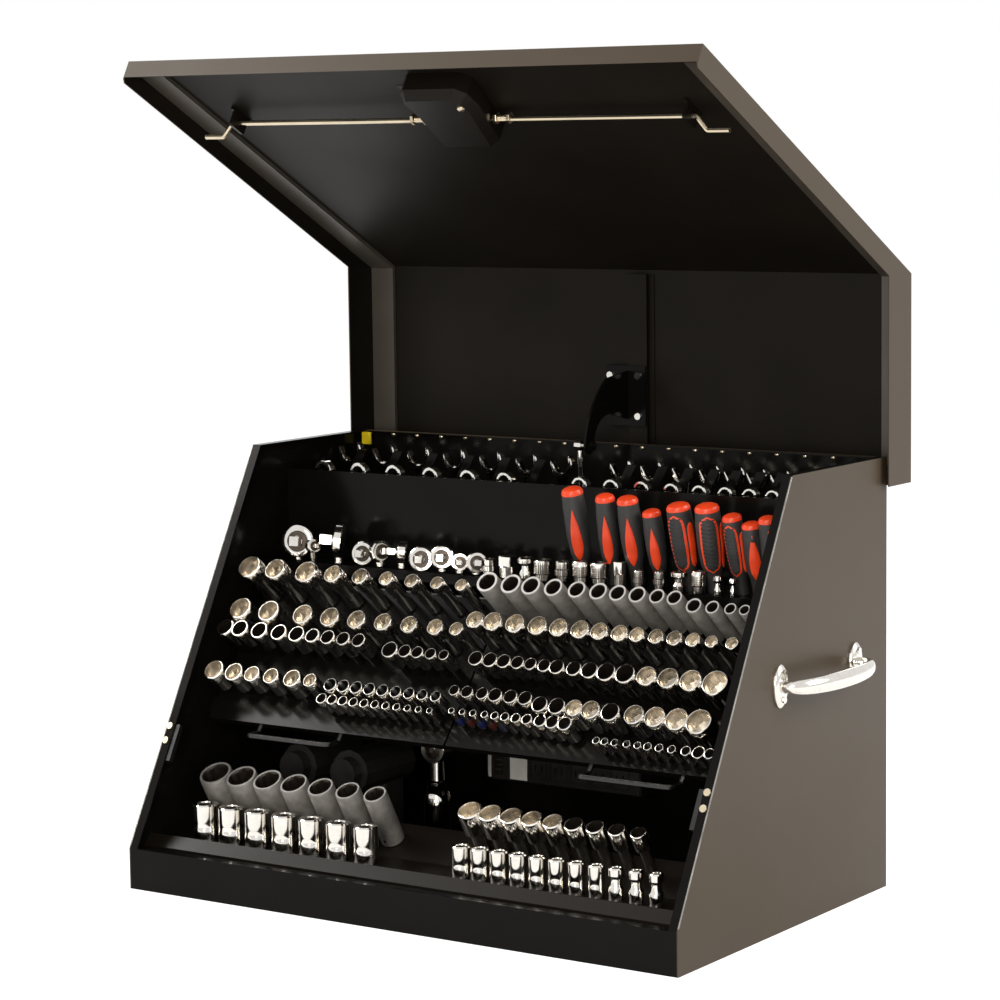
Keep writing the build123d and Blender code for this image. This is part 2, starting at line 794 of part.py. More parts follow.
def rack_deck(left_x, right_x, name):
    """A deck behind the fascia, slotted for the wrench shanks, with leaning fingers on it."""
    with BuildPart() as deck:
        with BuildSketch(yz_plane(left_x)):
            with BuildLine():
                Polyline(
                    (shelf_back_y + sheet, deck_z),
                    (deck_back_y, deck_z),
                    (deck_back_y, deck_z - sheet),
                    (shelf_back_y + 2 * sheet, deck_z - sheet),
                    (shelf_back_y + 2 * sheet, deck_z - shelf_lip),
                    (shelf_back_y + sheet, deck_z - shelf_lip),
                    close=True,
                )
            make_face()
        extrude(amount=right_x - left_x)
        with BuildSketch(Plane.XY.offset(deck_z + 1)):
            slot_size = (wrench_shank_width + 2 * slot_clearance, wrench_shank_thickness + 2 * slot_clearance)
            for row_xs, row_y in ((rear_wrench_xs, rear_wrench_y), (front_wrench_xs, front_wrench_y)):
                for x in row_xs:
                    if left_x + 8 < x < right_x - 8:
                        with Locations((x, row_y)):
                            Rectangle(*slot_size)
        extrude(amount=-sheet - 2, mode=Mode.SUBTRACT)
        for x in rear_wrench_xs:
            foot_x = x - 32
            if left_x + 4 < foot_x < right_x - 32:
                with BuildSketch(Plane(origin=(0, finger_y, deck_z), x_dir=(1, 0, 0), z_dir=(0, -1, 0))):
                    with BuildLine():
                        Polyline(
                            (foot_x, 0),
                            (foot_x + finger_width, 0),
                            (foot_x + finger_width + finger_lean, finger_height),
                            (foot_x + finger_lean, finger_height),
                            close=True,
                        )
                    make_face()
                extrude(amount=sheet)
    finish(deck.part, name)


rack_deck(-inner_half_width, rack_channel_left, "wrench_rack_left")
rack_deck(rack_channel_right, inner_half_width, "wrench_rack_right")

# Wrenches: open ends up in the back row, ring ends up in the front row.
wrench_drop = 140.0
with BuildPart() as open_wrenches:
    for number, x in enumerate(rear_wrench_xs):
        head_radius = 15.5 - 0.28 * number
        head_z = deck_z + head_radius + 20
        wrench_plane = Plane(
            origin=(x, rear_wrench_y + wrench_shank_thickness / 2, 0), x_dir=(1, 0, 0), z_dir=(0, -1, 0)
        )
        with BuildSketch(wrench_plane):
            with Locations((0, (head_z + deck_z - wrench_drop) / 2)):
                Rectangle(wrench_shank_width, head_z - deck_z + wrench_drop)
            with Locations((0, head_z)):
                RegularPolygon(head_radius, 10)
            with Locations((-0.3 * head_radius, head_z + 0.45 * head_radius)):
                Rectangle(1.15 * head_radius, 1.5 * head_radius, rotation=35, mode=Mode.SUBTRACT)
        extrude(amount=wrench_shank_thickness)
finish(open_wrenches.part, "open_wrenches")

with BuildPart() as ring_wrenches:
    for number, x in enumerate(front_wrench_xs):
        head_radius = 12.5 - 0.25 * number
        head_z = fascia_top_z - 0.2 * head_radius
        wrench_plane = Plane(
            origin=(x, front_wrench_y + wrench_shank_thickness / 2, 0), x_dir=(1, 0, 0), z_dir=(0, -1, 0)
        )
        with BuildSketch(wrench_plane):
            with Locations((0, (head_z + deck_z - wrench_drop) / 2)):
                Rectangle(wrench_shank_width, head_z - deck_z + wrench_drop)
            with Locations((0, head_z)):
                RegularPolygon(head_radius, 10)
                RegularPolygon(0.62 * head_radius, 6, mode=Mode.SUBTRACT)
        extrude(amount=wrench_shank_thickness)
finish(ring_wrenches.part, "ring_wrenches")

# Screwdrivers: grips above the shelf, blades through its holes.
grip_tops = (480, 474, 473, 459, 469, 470, 460, 452, 460)
grip_radii = (12, 10.5, 11, 10, 13.5, 14, 10.5, 10, 10)
with BuildPart() as screwdriver_grips:
    for x, top_z, grip_radius in zip(screwdriver_xs, grip_tops, grip_radii):
        # a narrow neck on the shelf, a shoulder and the grip's barrel
        for base_rise, share, rise in ((0, 0.7, 26), (26, 1.0, top_z - shelf_z - 26)):
            with BuildSketch(Plane.XY.offset(shelf_z + base_rise)):
                with Locations((x, screwdriver_y)):
                    RegularPolygon(share * grip_radius, 8)
            extrude(amount=rise)
finish(screwdriver_grips.part, "screwdriver_grips")

blade_length = 110.0
with BuildPart() as screwdriver_blades:
    with BuildSketch(Plane.XY.offset(shelf_z)):
        for x in screwdriver_xs:
            with Locations((x, screwdriver_y)):
                RegularPolygon(3.5, 6)
    extrude(amount=-blade_length)
finish(screwdriver_blades.part, "screwdriver_blades")

# Ratchets hang by their heads in the left half of the shelf; adaptors stand along the rest.
ratchet_y = 34.0
ratchet_xs = (-327, -248, -168, -118, -60)
ratchet_radii = (16, 17, 12, 13, 12)
with BuildPart() as ratchets:
    for x, head_radius in zip(ratchet_xs, ratchet_radii):
        head_z = shelf_z + head_radius + 4
        with BuildSketch(Plane(origin=(x, ratchet_y + 7, head_z), x_dir=(1, 0, 0), z_dir=(0, -1, 0))):
            RegularPolygon(head_radius, 10)
        extrude(amount=14)
        with BuildSketch(Plane.XY.offset(shelf_z)):
            with Locations((x, ratchet_y)):
                Rectangle(12, 12)
        extrude(amount=head_radius)
        with BuildSketch(Plane(origin=(x, ratchet_y - 7, head_z), x_dir=(1, 0, 0), z_dir=(0, -1, 0))):
            Rectangle(9, 9)
        extrude(amount=9)
finish(ratchets.part, "ratchets")

adaptor_y = 33.0
adaptor_spots = (
    (-208, 9, 24), (-145, 6, 22), (-90, 8, 22), (-36, 8, 20), (-12, 8, 24), (12, 9, 24), (36, 8, 26),
    (63, 8, 26), (100, 10, 24), (139, 8, 24), (170, 5, 30), (206, 6, 20), (242, 6, 20), (277, 7, 18),
)
with BuildPart() as adaptors:
    for x, adaptor_radius, adaptor_height in adaptor_spots:
        with BuildSketch(Plane.XY.offset(shelf_z)):
            with Locations((x, adaptor_y)):
                RegularPolygon(adaptor_radius, 8)
        extrude(amount=adaptor_height)
finish(adaptors.part, "adaptors")

# ---------------------------------------------------------------- socket trays
tray_outer_x = half_width - edge_flange - tray_side_gap
left_tray_span = (-tray_outer_x, tray_split_x - tray_centre_gap / 2)
right_tray_span = (tray_split_x + tray_centre_gap / 2, tray_outer_x)
tray_pivot = tray_plane(0, -tray_pivot_rise, -tray_pivot_drop).origin

# A row: station, first and last x, count, first and last radius, height of the mouths
# above the tray, a socket's own length and its sides.  A shorter socket stands on a post.
left_rows = (
    (19.7, -349, -32, 9, 13.5, 7.0, 65.8, 65.8, 8),
    (72.7, -344, -22, 9, 13.5, 8.0, 54.8, 54.8, 8),
    (99.8, -352, -152, 9, 10.5, 8.0, 53.3, 30, 8),
    (106.5, -105, -27, 5, 9.0, 6.5, 50.4, 28, 6),
    (155.0, -348, -174, 7, 12.0, 7.5, 44.0, 30, 8),
    (156.8, -155, -23, 8, 7.0, 6.0, 41.8, 26, 6),
    (173.1, -183, -26, 11, 6.0, 3.0, 35.6, 25, 6),
)
right_rows = (
    (15.0, 5, 351, 14, 12.0, 6.5, 68.5, 68.5, 8),
    (60.1, 0, 345, 14, 11.5, 7.0, 58.5, 58.5, 8),
    (106.5, 18, 130, 7, 8.5, 7.5, 50.4, 28, 6),
    (107.7, 155, 338, 8, 9.0, 14.0, 52.2, 34, 8),
    (148.1, 3, 148, 8, 6.0, 8.0, 44.9, 28, 6),
    (154.3, 170, 332, 7, 9.5, 14.0, 46.1, 34, 8),
    (170.1, 4, 159, 11, 4.0, 7.0, 36.0, 30, 6),
    (184.7, 205, 349, 11, 4.0, 5.0, 32.0, 22, 6),
)


def row_spots(row):
    """The x and radius of each socket in a row."""
    station, first_x, last_x, count, first_radius, last_radius = row[:6]
    taper = (first_radius - last_radius) / (first_radius + last_radius) / 3
    spots = []
    for number in range(count):
        share = number / (count - 1)
        eased = share + taper * share * (1 - share)
        spots.append((first_x + (last_x - first_x) * eased, first_radius + (last_radius - first_radius) * share))
    return spots


def tray(span, rows, name):
    """A tray sheet with turned edges, pivot ears and a peg for each bored socket."""
    left_x, right_x = span
    middle_x = (left_x + right_x) / 2
    width = right_x - left_x
    with BuildPart() as plate:
        with BuildSketch(tray_plane(middle_x, tray_length / 2, -sheet)):
            Rectangle(width, tray_length)
        extrude(amount=sheet)
        with BuildSketch(tray_plane(middle_x, tray_length - sheet / 2, -tray_flange)):
            Rectangle(width, sheet)
        extrude(amount=tray_flange)
        for ear_x in (left_x, right_x - tray_ear_thickness):
            with BuildSketch(tray_plane(ear_x + tray_ear_thickness / 2, tray_length / 2, -tray_flange)):
                Rectangle(tray_ear_thickness, tray_length)
            extrude(amount=tray_flange)
            with BuildSketch(yz_plane(ear_x)):
                with Locations((tray_pivot.Y, tray_pivot.Z)):
                    Circle(tray_rod_radius + 3)
            extrude(amount=tray_ear_thickness)
            with BuildSketch(yz_plane(ear_x)):
                with Locations((tray_pivot.Y, tray_pivot.Z)):
                    Circle(tray_rod_radius + tray_rod_clearance)
            extrude(amount=tray_ear_thickness, mode=Mode.SUBTRACT)
        for row in rows:
            post_height = row[6] - row[7]
            with BuildSketch(tray_plane(0, row[0], 0)):
                for x, radius in row_spots(row):
                    post_size = radius if post_height else peg_size
                    with Locations((x, 0)):
                        Rectangle(post_size, post_size)
            extrude(amount=post_height or peg_height)
    finish(plate.part, name)


def socket_rows(rows, name):
    """Sockets on a tray: bored right through over a peg, bored from the top, or plain if small."""
    with BuildPart() as group:
        for row in rows:
            station, height, length, sides = row[0], row[6], row[7], row[8]
            spots = row_spots(row)
            with BuildSketch(tray_plane(0, station, height)):
                for x, radius in spots:
                    with Locations((x, 0)):
                        RegularPolygon(radius, sides)
            extrude(amount=-length)
            if sides == 6:
                continue
            bore_depth = length if length == height else 0.55 * length
            with BuildSketch(tray_plane(0, station, height)):
                for x, radius in spots:
                    with Locations((x, 0)):
                        RegularPolygon(0.72 * radius, 6)
            extrude(amount=-bore_depth, mode=Mode.SUBTRACT)
    finish(group.part, name)


tray(left_tray_span, left_rows, "socket_tray_left")
tray(right_tray_span, right_rows, "socket_tray_right")
socket_rows(left_rows[:4], "sockets_left_large")
socket_rows(left_rows[4:], "sockets_left_small")
socket_rows(right_rows[:1], "sockets_right_impact")
socket_rows(right_rows[1:4], "sockets_right_large")
socket_rows(right_rows[4:], "sockets_right_small")


def bail(centre_x, name):
    """The wire pull under a tray, which stands off its lower edge."""
    rise = bail_reach * sin(radians(bail_bend))
    run = bail_reach * cos(radians(bail_bend))
    knee = 10.0
    height = -tray_flange / 2
    left_x = centre_x - bail_width / 2
    right_x = centre_x + bail_width / 2
    corners = [
        tray_plane(left_x, tray_length, height).origin,
        tray_plane(left_x, tray_length + knee, height).origin,
        tray_plane(left_x, tray_length + knee + run, height + rise).origin,
        tray_plane(right_x, tray_length + knee + run, height + rise).origin,
        tray_plane(right_x, tray_length + knee, height).origin,
        tray_plane(right_x, tray_length, height).origin,
    ]
    with BuildPart() as wire:
        with BuildLine() as route:
            FilletPolyline(*corners, radius=7)
        with BuildSketch(Plane(origin=route.line @ 0, z_dir=route.line % 0)):
            RegularPolygon(bail_radius, 6)
        sweep()
    finish(wire.part, name)


bail(bail_left_x, "bail_left")
bail(bail_right_x, "bail_right")

with BuildPart() as tray_rod:
    with BuildSketch(yz_plane(-inner_half_width)):
        with Locations((tray_pivot.Y, tray_pivot.Z)):
            Circle(tray_rod_radius)
    extrude(amount=2 * inner_half_width)
finish(tray_rod.part, "tray_pivot_rod")

# Hangers carry the rod below the shelf.
hanger_thickness = 3.0
hanger_width = 8.4
hanger_xs = (-tray_outer_x - hanger_thickness - 1, -190, tray_split_x - 10, 170, tray_outer_x + 1)
with BuildPart() as hangers:
    for x in hanger_xs:
        hanger_end_z = tray_pivot.Z - tray_rod_radius - 2
        with BuildSketch(yz_plane(x)):
            with Locations((tray_pivot.Y, (shelf_z - sheet + hanger_end_z) / 2)):
                Rectangle(hanger_width, shelf_z - sheet - hanger_end_z)
            with Locations((tray_pivot.Y, tray_pivot.Z)):
                Circle(tray_rod_radius + tray_rod_clearance, mode=Mode.SUBTRACT)
        extrude(amount=hanger_thickness)
finish(hangers.part, "tray_rod_hangers")

# Rest bar between the sides, under the trays' lower ends.
rest_station = tray_length - 24
with BuildPart() as rest_bar:
    with BuildSketch(tray_plane(0, rest_station, -tray_flange - seat_gap)):
        Rectangle(2 * inner_half_width, 20)
    extrude(amount=-4)
finish(rest_bar.part, "tray_rest_bar")

# ---------------------------------------------------------------- front tray and its sockets
ramp_cos = cos(radians(front_tray_ramp_angle))
ramp_sin = sin(radians(front_tray_ramp_angle))
tray_floor_y = front_tray_front_y + 15
ramp_y = tray_floor_y + front_tray_flat
ramp_top_y = ramp_y + front_tray_ramp * ramp_cos
ramp_top_z = front_tray_z + front_tray_ramp * ramp_sin
front_half_width = inner_half_width - seat_gap


def ramp_plane(along, height):
    """On the front tray's ramp, whose normal leans towards the front."""
    y = ramp_y + along * ramp_cos - height * ramp_sin
    z = front_tray_z + along * ramp_sin + height * ramp_cos
    return Plane(origin=(0, y, z), x_dir=(1, 0, 0), z_dir=(0, -ramp_sin, ramp_cos))


# Rows: first and last x, count, first and last radius, height.
front_short_rows = ((-330, -90, 7, 16.5, 15.0, 44), (45, 305, 11, 11.5, 8.5, 37))
front_deep_row = (36, 263, 9, 13.0, 8.7, 66)
front_impact_row = (-337, -97, 7, 18.0, 12.5, 70)


def even_spots(row):
    """Evenly spaced x and radius values along a front-tray row."""
    first_x, last_x, count, first_radius, last_radius = row[:5]
    return [
        (
            first_x + (last_x - first_x) * number / (count - 1),
            first_radius + (last_radius - first_radius) * number / (count - 1),
        )
        for number in range(count)
    ]


floor_plane = Plane(origin=(0, front_socket_y, front_tray_z), x_dir=(1, 0, 0), z_dir=(0, 0, 1))
with BuildPart() as front_tray:
    with BuildSketch(yz_plane(-front_half_width)):
        with BuildLine():
            Polyline(
                (front_tray_front_y, sheet),
                (front_tray_front_y, front_tray_z - 1),
                (front_tray_front_y + 13, front_tray_z + front_tray_lip),
                (tray_floor_y, front_tray_z),
                (ramp_y, front_tray_z),
                (ramp_top_y, ramp_top_z),
                (ramp_top_y, sheet),
                (ramp_top_y - sheet, sheet),
                (ramp_top_y - sheet, ramp_top_z - 2.6),
                (ramp_y + 0.4, front_tray_z - sheet),
                (tray_floor_y - 1.25, front_tray_z - sheet),
                (front_tray_front_y + 12, front_tray_z + front_tray_lip - 2.9),
                (front_tray_front_y + sheet, front_tray_z - 1.7),
                (front_tray_front_y + sheet, sheet),
                close=True,
            )
        make_face()
    extrude(amount=2 * front_half_width)
    # a square peg under each socket
    with BuildSketch(floor_plane):
        for row in front_short_rows:
            for x, radius in even_spots(row):
                with Locations((x, 0)):
                    Rectangle(peg_size, peg_size)
    extrude(amount=peg_height)
    with BuildSketch(ramp_plane(ramp_seat, 0)):
        for row in (front_deep_row, front_impact_row):
            for x, radius in even_spots(row):
                with Locations((x, 0)):
                    Rectangle(peg_size, peg_size)
    extrude(amount=peg_height)
finish(front_tray.part, "front_tray")


def front_sockets(rows, base_plane, name):
    """Upright or leaning tubes, hex-bored right through over their pegs."""
    with BuildPart() as group:
        for row in rows:
            with BuildSketch(base_plane):
                for x, radius in even_spots(row):
                    with Locations((x, 0)):
                        RegularPolygon(radius, 8)
                        RegularPolygon(0.72 * radius, 6, mode=Mode.SUBTRACT)
            extrude(amount=row[5])
    finish(group.part, name)


front_sockets(front_short_rows, floor_plane, "front_sockets")
front_sockets((front_deep_row,), ramp_plane(ramp_seat, 0), "front_deep_sockets")
front_sockets((front_impact_row,), ramp_plane(ramp_seat, 0), "front_impact_sockets")

# ---------------------------------------------------------------- carry handles
handle_screw_pitch = 30.0


def carry_handle(side):
    """A cast handle: two oval feet joined by a bar that bows away from the chest."""
    wall_x = side * half_width
    bar_x = side * (half_width + handle_reach)
    inner_bar_x = side * (half_width + handle_reach - handle_bar_thickness)
    front_foot_y = handle_y - handle_span / 2
    rear_foot_y = handle_y + handle_span / 2
    half_root = 10.0
    with BuildPart() as handle:
        with BuildSketch(Plane.XY.offset(handle_z - handle_bar_height / 2)):
            with BuildLine():
                root_x = side * (half_width + handle_foot_thickness - 2)
                front_out = (root_x, front_foot_y - half_root)
                front_in = (root_x, front_foot_y + half_root)
                rear_in = (root_x, rear_foot_y - half_root)
                rear_out = (root_x, rear_foot_y + half_root)
                ThreePointArc(front_out, (bar_x, handle_y), rear_out)
                ThreePointArc(front_in, (inner_bar_x, handle_y), rear_in)
                Line(front_out, front_in)
                Line(rear_in, rear_out)
            make_face()
        extrude(amount=handle_bar_height)
        long_edges = handle.edges().filter_by(GeomType.CIRCLE)
        chamfer(long_edges, length=handle_bar_thickness / 3.4)
        for foot_y in (front_foot_y, rear_foot_y):
            foot_plane = Plane(origin=(wall_x, foot_y, handle_z), x_dir=(0, 1, 0), z_dir=(side, 0, 0))
            with BuildSketch(foot_plane):
                Ellipse(handle_foot_width / 2, handle_foot_length / 2)
            extrude(amount=handle_foot_thickness)
    return handle.part


finish(carry_handle(1), "carry_handle_right")
finish(carry_handle(-1), "carry_handle_left")

with BuildPart() as handle_screws:
    for side in (-1, 1):
        head_x = side * (half_width + handle_foot_thickness)
        screw_plane = Plane(origin=(head_x, 0, 0), x_dir=(0, 1, 0), z_dir=(side, 0, 0))
        with BuildSketch(screw_plane):
            for foot_y in (handle_y - handle_span / 2, handle_y + handle_span / 2):
                for rise in (-handle_screw_pitch / 2, handle_screw_pitch / 2):
                    with Locations((foot_y, side * (handle_z + rise))):
                        RegularPolygon(screw_head_radius - 0.6, 8)
        extrude(amount=screw_head_height - 0.5)
finish(handle_screws.part, "carry_handle_screws")


# ---------------------------------------------------------------- latch strikers
def slope_plane(x, z, height):
    """On the chest's sloped edge at a height z; local z points out of the chest."""
    y = slope_top_y - (chest_height - z) / slope_rise * slope_run
    normal_y = -sin(radians(slope_angle))
    normal_z = cos(radians(slope_angle))
    return Plane(
        origin=(x, y + height * normal_y, z + height * normal_z), x_dir=(1, 0, 0), z_dir=(0, normal_y, normal_z)
    )


striker_width = edge_flange + striker_reach - sheet - seat_gap
striker_middle = inner_half_width - seat_gap - striker_width / 2


with BuildPart() as strikers:
    for side in (-1, 1):
        # a plate behind the turned edge that a rod end slides behind, with its gusset
        with BuildSketch(slope_plane(side * striker_middle, striker_z, -sheet)):
            Rectangle(striker_width, striker_height)
        extrude(amount=-striker_thickness)
        with BuildSketch(slope_plane(side * (inner_half_width - seat_gap - 1.5), striker_z, -sheet)):
            Rectangle(3, striker_height)
        extrude(amount=-striker_thickness - 13)
finish(strikers.part, "strikers")

with BuildPart() as striker_screws:
    for side in (-1, 1):
        for rise in (1, 17):
            with BuildSketch(slope_plane(side * (half_width - edge_flange / 2), striker_z + rise, 0)):
                RegularPolygon(screw_head_radius, 8)
            extrude(amount=screw_head_height)
finish(striker_screws.part, "striker_screws")

# ---------------------------------------------------------------- power strip on the back panel
strip_face_y = back_y - sheet - strip_depth
strip_face = Plane(origin=(0, strip_face_y, 0), x_dir=(1, 0, 0), z_dir=(0, -1, 0))
first_outlet_x = strip_left_x + 80
with BuildPart() as power_strip:
    with BuildSketch(strip_face):
        with Locations((strip_left_x + strip_length / 2, strip_z)):
            Rectangle(strip_length, strip_height)
    extrude(amount=-strip_depth)
    chamfer(power_strip.faces().sort_by(Axis.Y)[0].edges(), length=2)
    with BuildSketch(strip_face):
        for number in range(outlet_count):
            with Locations((first_outlet_x + number * outlet_pitch, strip_z)):
                Rectangle(outlet_size, outlet_size)
    extrude(amount=-3, mode=Mode.SUBTRACT)
finish(power_strip.part, "power_strip")

with BuildPart() as outlets:
    with BuildSketch(strip_face.offset(-3)):
        for number in range(outlet_count):
            with Locations((first_outlet_x + number * outlet_pitch, strip_z)):
                Rectangle(outlet_size - 2 * seat_gap, outlet_size - 2 * seat_gap)
                for offset in (-5, 5):
                    with Locations((offset, 0)):
                        Rectangle(2, 8, mode=Mode.SUBTRACT)
    extrude(amount=2.4)
finish(outlets.part, "power_outlets")

# ---------------------------------------------------------------- air tools stored under the trays
air_ratchet_x = -120.0
air_ratchet_y = 30.0
air_head_z = 150.0
with BuildPart() as air_ratchet:
    with BuildSketch(Plane.XY.offset(sheet)):
        with Locations((air_ratchet_x, air_ratchet_y)):
            RegularPolygon(10, 8)
    extrude(amount=34)
    with BuildSketch(Plane.XY.offset(sheet + 34)):
        with Locations((air_ratchet_x, air_ratchet_y)):
            RegularPolygon(17, 10)
    extrude(amount=62)
    with BuildSketch(Plane.XY.offset(sheet + 96)):
        with Locations((air_ratchet_x, air_ratchet_y)):
            RegularPolygon(9, 8)
    extrude(amount=air_head_z - sheet - 96)
    with BuildSketch(Plane(origin=(air_ratchet_x, air_ratchet_y + 11, air_head_z), x_dir=(1, 0, 0), z_dir=(0, -1, 0))):
        RegularPolygon(17, 10)
    extrude(amount=22)
finish(air_ratchet.part, "air_ratchet")

air_tool_spots = (-300.0, -222.0)
barrel_z = 118.0
barrel_radius = 27.0
with BuildPart() as air_tools:
    for x in air_tool_spots:
        with BuildSketch(Plane(origin=(x, 90, barrel_z), x_dir=(1, 0, 0), z_dir=(0, -1, 0))):
            RegularPolygon(barrel_radius, 12)
        extrude(amount=100)
        with BuildSketch(Plane(origin=(x, -10, barrel_z), x_dir=(1, 0, 0), z_dir=(0, -1, 0))):
            RegularPolygon(barrel_radius - 8, 12)
        extrude(amount=16)
        with BuildSketch(Plane.XY.offset(sheet)):
            with Locations((x, 62)):
                RectangleRounded(30, 44, 8)
        extrude(amount=barrel_z - sheet)
finish(air_tools.part, "air_tools")

# ---------------------------------------------------------------- numbers the record repeats
closed_arm_y = hinge_y - (arm_end_z - hinge_z)
closed_arm_z = hinge_z + (arm_end_y - hinge_y)
strut_closed_length = hypot(closed_arm_y - strut_foot_y, closed_arm_z - strut_foot_z)
open_lean = degrees(atan2(strut_run, strut_rise))
closed_lean = degrees(atan2(closed_arm_y - strut_foot_y, closed_arm_z - strut_foot_z))
print("lid hinge", round(hinge_y, 3), round(hinge_z, 3))
print("tray pivot", round(tray_pivot.Y, 3), round(tray_pivot.Z, 3))
print("latch axis origin", panel_plane(cover_centre, rod_station, 0).origin)
print("panel rise", round(panel_rise, 3), "tray angle", tray_angle)
print("strut direction", strut_direction)
print("strut slide ratio m/rad", round((strut_closed_length - strut_open_length) / 1000 / (pi / 2), 6))
print("strut pivot ratio", round(-(closed_lean - open_lean) / 90, 6))
print("strut stroke mm", round(strut_closed_length - strut_open_length, 3), "turn", round(open_lean - closed_lean, 3))
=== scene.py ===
from math import asin, cos, pi, radians, sin

import bmesh
import bpy
from mathutils import Matrix, Vector


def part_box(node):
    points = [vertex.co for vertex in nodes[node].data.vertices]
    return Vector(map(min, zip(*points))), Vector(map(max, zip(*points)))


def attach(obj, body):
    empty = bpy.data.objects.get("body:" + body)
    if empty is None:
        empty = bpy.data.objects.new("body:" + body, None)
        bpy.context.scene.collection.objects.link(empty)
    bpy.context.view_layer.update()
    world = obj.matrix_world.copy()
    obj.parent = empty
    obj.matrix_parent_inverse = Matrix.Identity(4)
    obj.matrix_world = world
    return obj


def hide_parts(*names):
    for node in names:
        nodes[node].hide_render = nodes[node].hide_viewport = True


# Finish and detail for the socket organizer chest.  Places are in millimetres in the chest's own
# frame, and mesh points are turned to metres as they are made.
MM = 0.001

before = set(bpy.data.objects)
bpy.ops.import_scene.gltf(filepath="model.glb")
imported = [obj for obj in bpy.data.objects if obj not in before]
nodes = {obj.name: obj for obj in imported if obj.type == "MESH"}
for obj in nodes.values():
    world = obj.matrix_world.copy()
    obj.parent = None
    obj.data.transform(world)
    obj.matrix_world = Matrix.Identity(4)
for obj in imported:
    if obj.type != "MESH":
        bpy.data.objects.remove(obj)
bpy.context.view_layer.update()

# ---------------------------------------------------------------- sizes shared with the frame
HALF_WIDTH = 381.0
TRAY_ANGLE = radians(50)
TRAY_TOP_Y = 23.3
TRAY_TOP_Z = 338.9
SHELF_Z = 366.0
DECK_Z = 452.0
FASCIA_TOP_Z = 474.0
FRONT_TRAY_Z = 50.0
RAMP_ANGLE = radians(30)
RAMP_Y = -118.0
RAMP_SEAT = 29.0
STRIP_FACE_Y = 200.5
LID_BACK_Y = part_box("lid_skin")[1][1] / MM
LID_CORNER_Z = 721.0
PANEL_RISE = radians(28.57)


# ---------------------------------------------------------------- materials
def material(
    name,
    color,
    roughness,
    metallic=0.0,
    specular=0.5,
    coat=0.0,
    shade=0.25,
    grain=60.0,
    bump=0.05,
    bump_grain=900.0,
    smear=0.08,
    stretch=(1, 1, 1),
):
    """A surface with uneven colour, uneven gloss and a fine bump, all from noise."""
    made = bpy.data.materials.new(name)
    made.use_nodes = True
    tree = made.node_tree
    shader = tree.nodes["Principled BSDF"]
    shader.inputs["Metallic"].default_value = metallic
    shader.inputs["Specular IOR Level"].default_value = specular
    shader.inputs["Coat Weight"].default_value = coat
    shader.inputs["Coat Roughness"].default_value = 0.12
    coordinates = tree.nodes.new("ShaderNodeTexCoord")
    scale = tree.nodes.new("ShaderNodeMapping")
    scale.inputs["Scale"].default_value = stretch
    tree.links.new(coordinates.outputs["Object"], scale.inputs["Vector"])

    def noise(size, detail):
        texture = tree.nodes.new("ShaderNodeTexNoise")
        texture.inputs["Scale"].default_value = size
        texture.inputs["Detail"].default_value = detail
        tree.links.new(scale.outputs["Vector"], texture.inputs["Vector"])
        return texture

    patches = noise(grain, 5)
    ramp = tree.nodes.new("ShaderNodeValToRGB")
    ramp.color_ramp.elements[0].position = 0.3
    ramp.color_ramp.elements[1].position = 0.7
    ramp.color_ramp.elements[0].color = tuple(c * (1 - shade) for c in color) + (1,)
    ramp.color_ramp.elements[1].color = tuple(min(1, c * (1 + shade)) for c in color) + (1,)
    tree.links.new(patches.outputs["Fac"], ramp.inputs["Fac"])
    tree.links.new(ramp.outputs["Color"], shader.inputs["Base Color"])
    gloss = tree.nodes.new("ShaderNodeMapRange")
    gloss.inputs["From Min"].default_value = 0.3
    gloss.inputs["From Max"].default_value = 0.7
    gloss.inputs["To Min"].default_value = max(0.02, roughness - smear)
    gloss.inputs["To Max"].default_value = roughness + smear
    tree.links.new(noise(grain * 0.4, 3).outputs["Fac"], gloss.inputs["Value"])
    tree.links.new(gloss.outputs["Result"], shader.inputs["Roughness"])
    relief = tree.nodes.new("ShaderNodeBump")
    relief.inputs["Strength"].default_value = bump
    relief.inputs["Distance"].default_value = 0.0004
    tree.links.new(noise(bump_grain, 2).outputs["Fac"], relief.inputs["Height"])
    tree.links.new(relief.outputs["Normal"], shader.inputs["Normal"])
    return made


# The chest's black paint with its base lifted for the outer faces: the paint's own dark colour plus
# painted sheen.
SHEEN_LIFTED_PAINT = material(
    "outer_paint_painted_sheen", (0.062, 0.045, 0.028), 0.42, specular=0.24, shade=0.035, grain=9, bump=0.12
)
RIM_PAINT = material(
    "rim_paint", (0.06, 0.052, 0.042), 0.36, specular=0.4, shade=0.12, grain=14, bump=0.12
)
# Pale metallic for the slope-edge bead: a painted highlight on the black paint's bend.
BEND_HIGHLIGHT = material("bend_painted_highlight", (0.3, 0.29, 0.27), 0.25, 0.7, shade=0.3, grain=40, bump=0.1)
# The same black paint darkened for the inside of the lid: painted shade.
LID_SHADE_PAINT = material(
    "lid_paint_painted_shade", (0.0085, 0.0068, 0.005), 0.45, specular=0.07, shade=0.2, grain=7, bump=0.15
)
# The same black paint darkened further for the chest's inner faces, trays, racks and shelf: painted
# shade.
SHADE_DARKENED_PAINT = material(
    "inner_paint_painted_shade", (0.0045, 0.004, 0.0034), 0.17, specular=0.08, shade=0.2, grain=12, bump=0.08
)
LIP_PAINT = material(
    "lip_paint", (0.0075, 0.0055, 0.004), 0.36, specular=0.13, shade=0.15, grain=10, bump=0.12
)
CHROME = material(
    "chrome_plate", (0.72, 0.69, 0.64), 0.09, 1.0, shade=0.06, grain=140, bump=0.03, smear=0.04
)
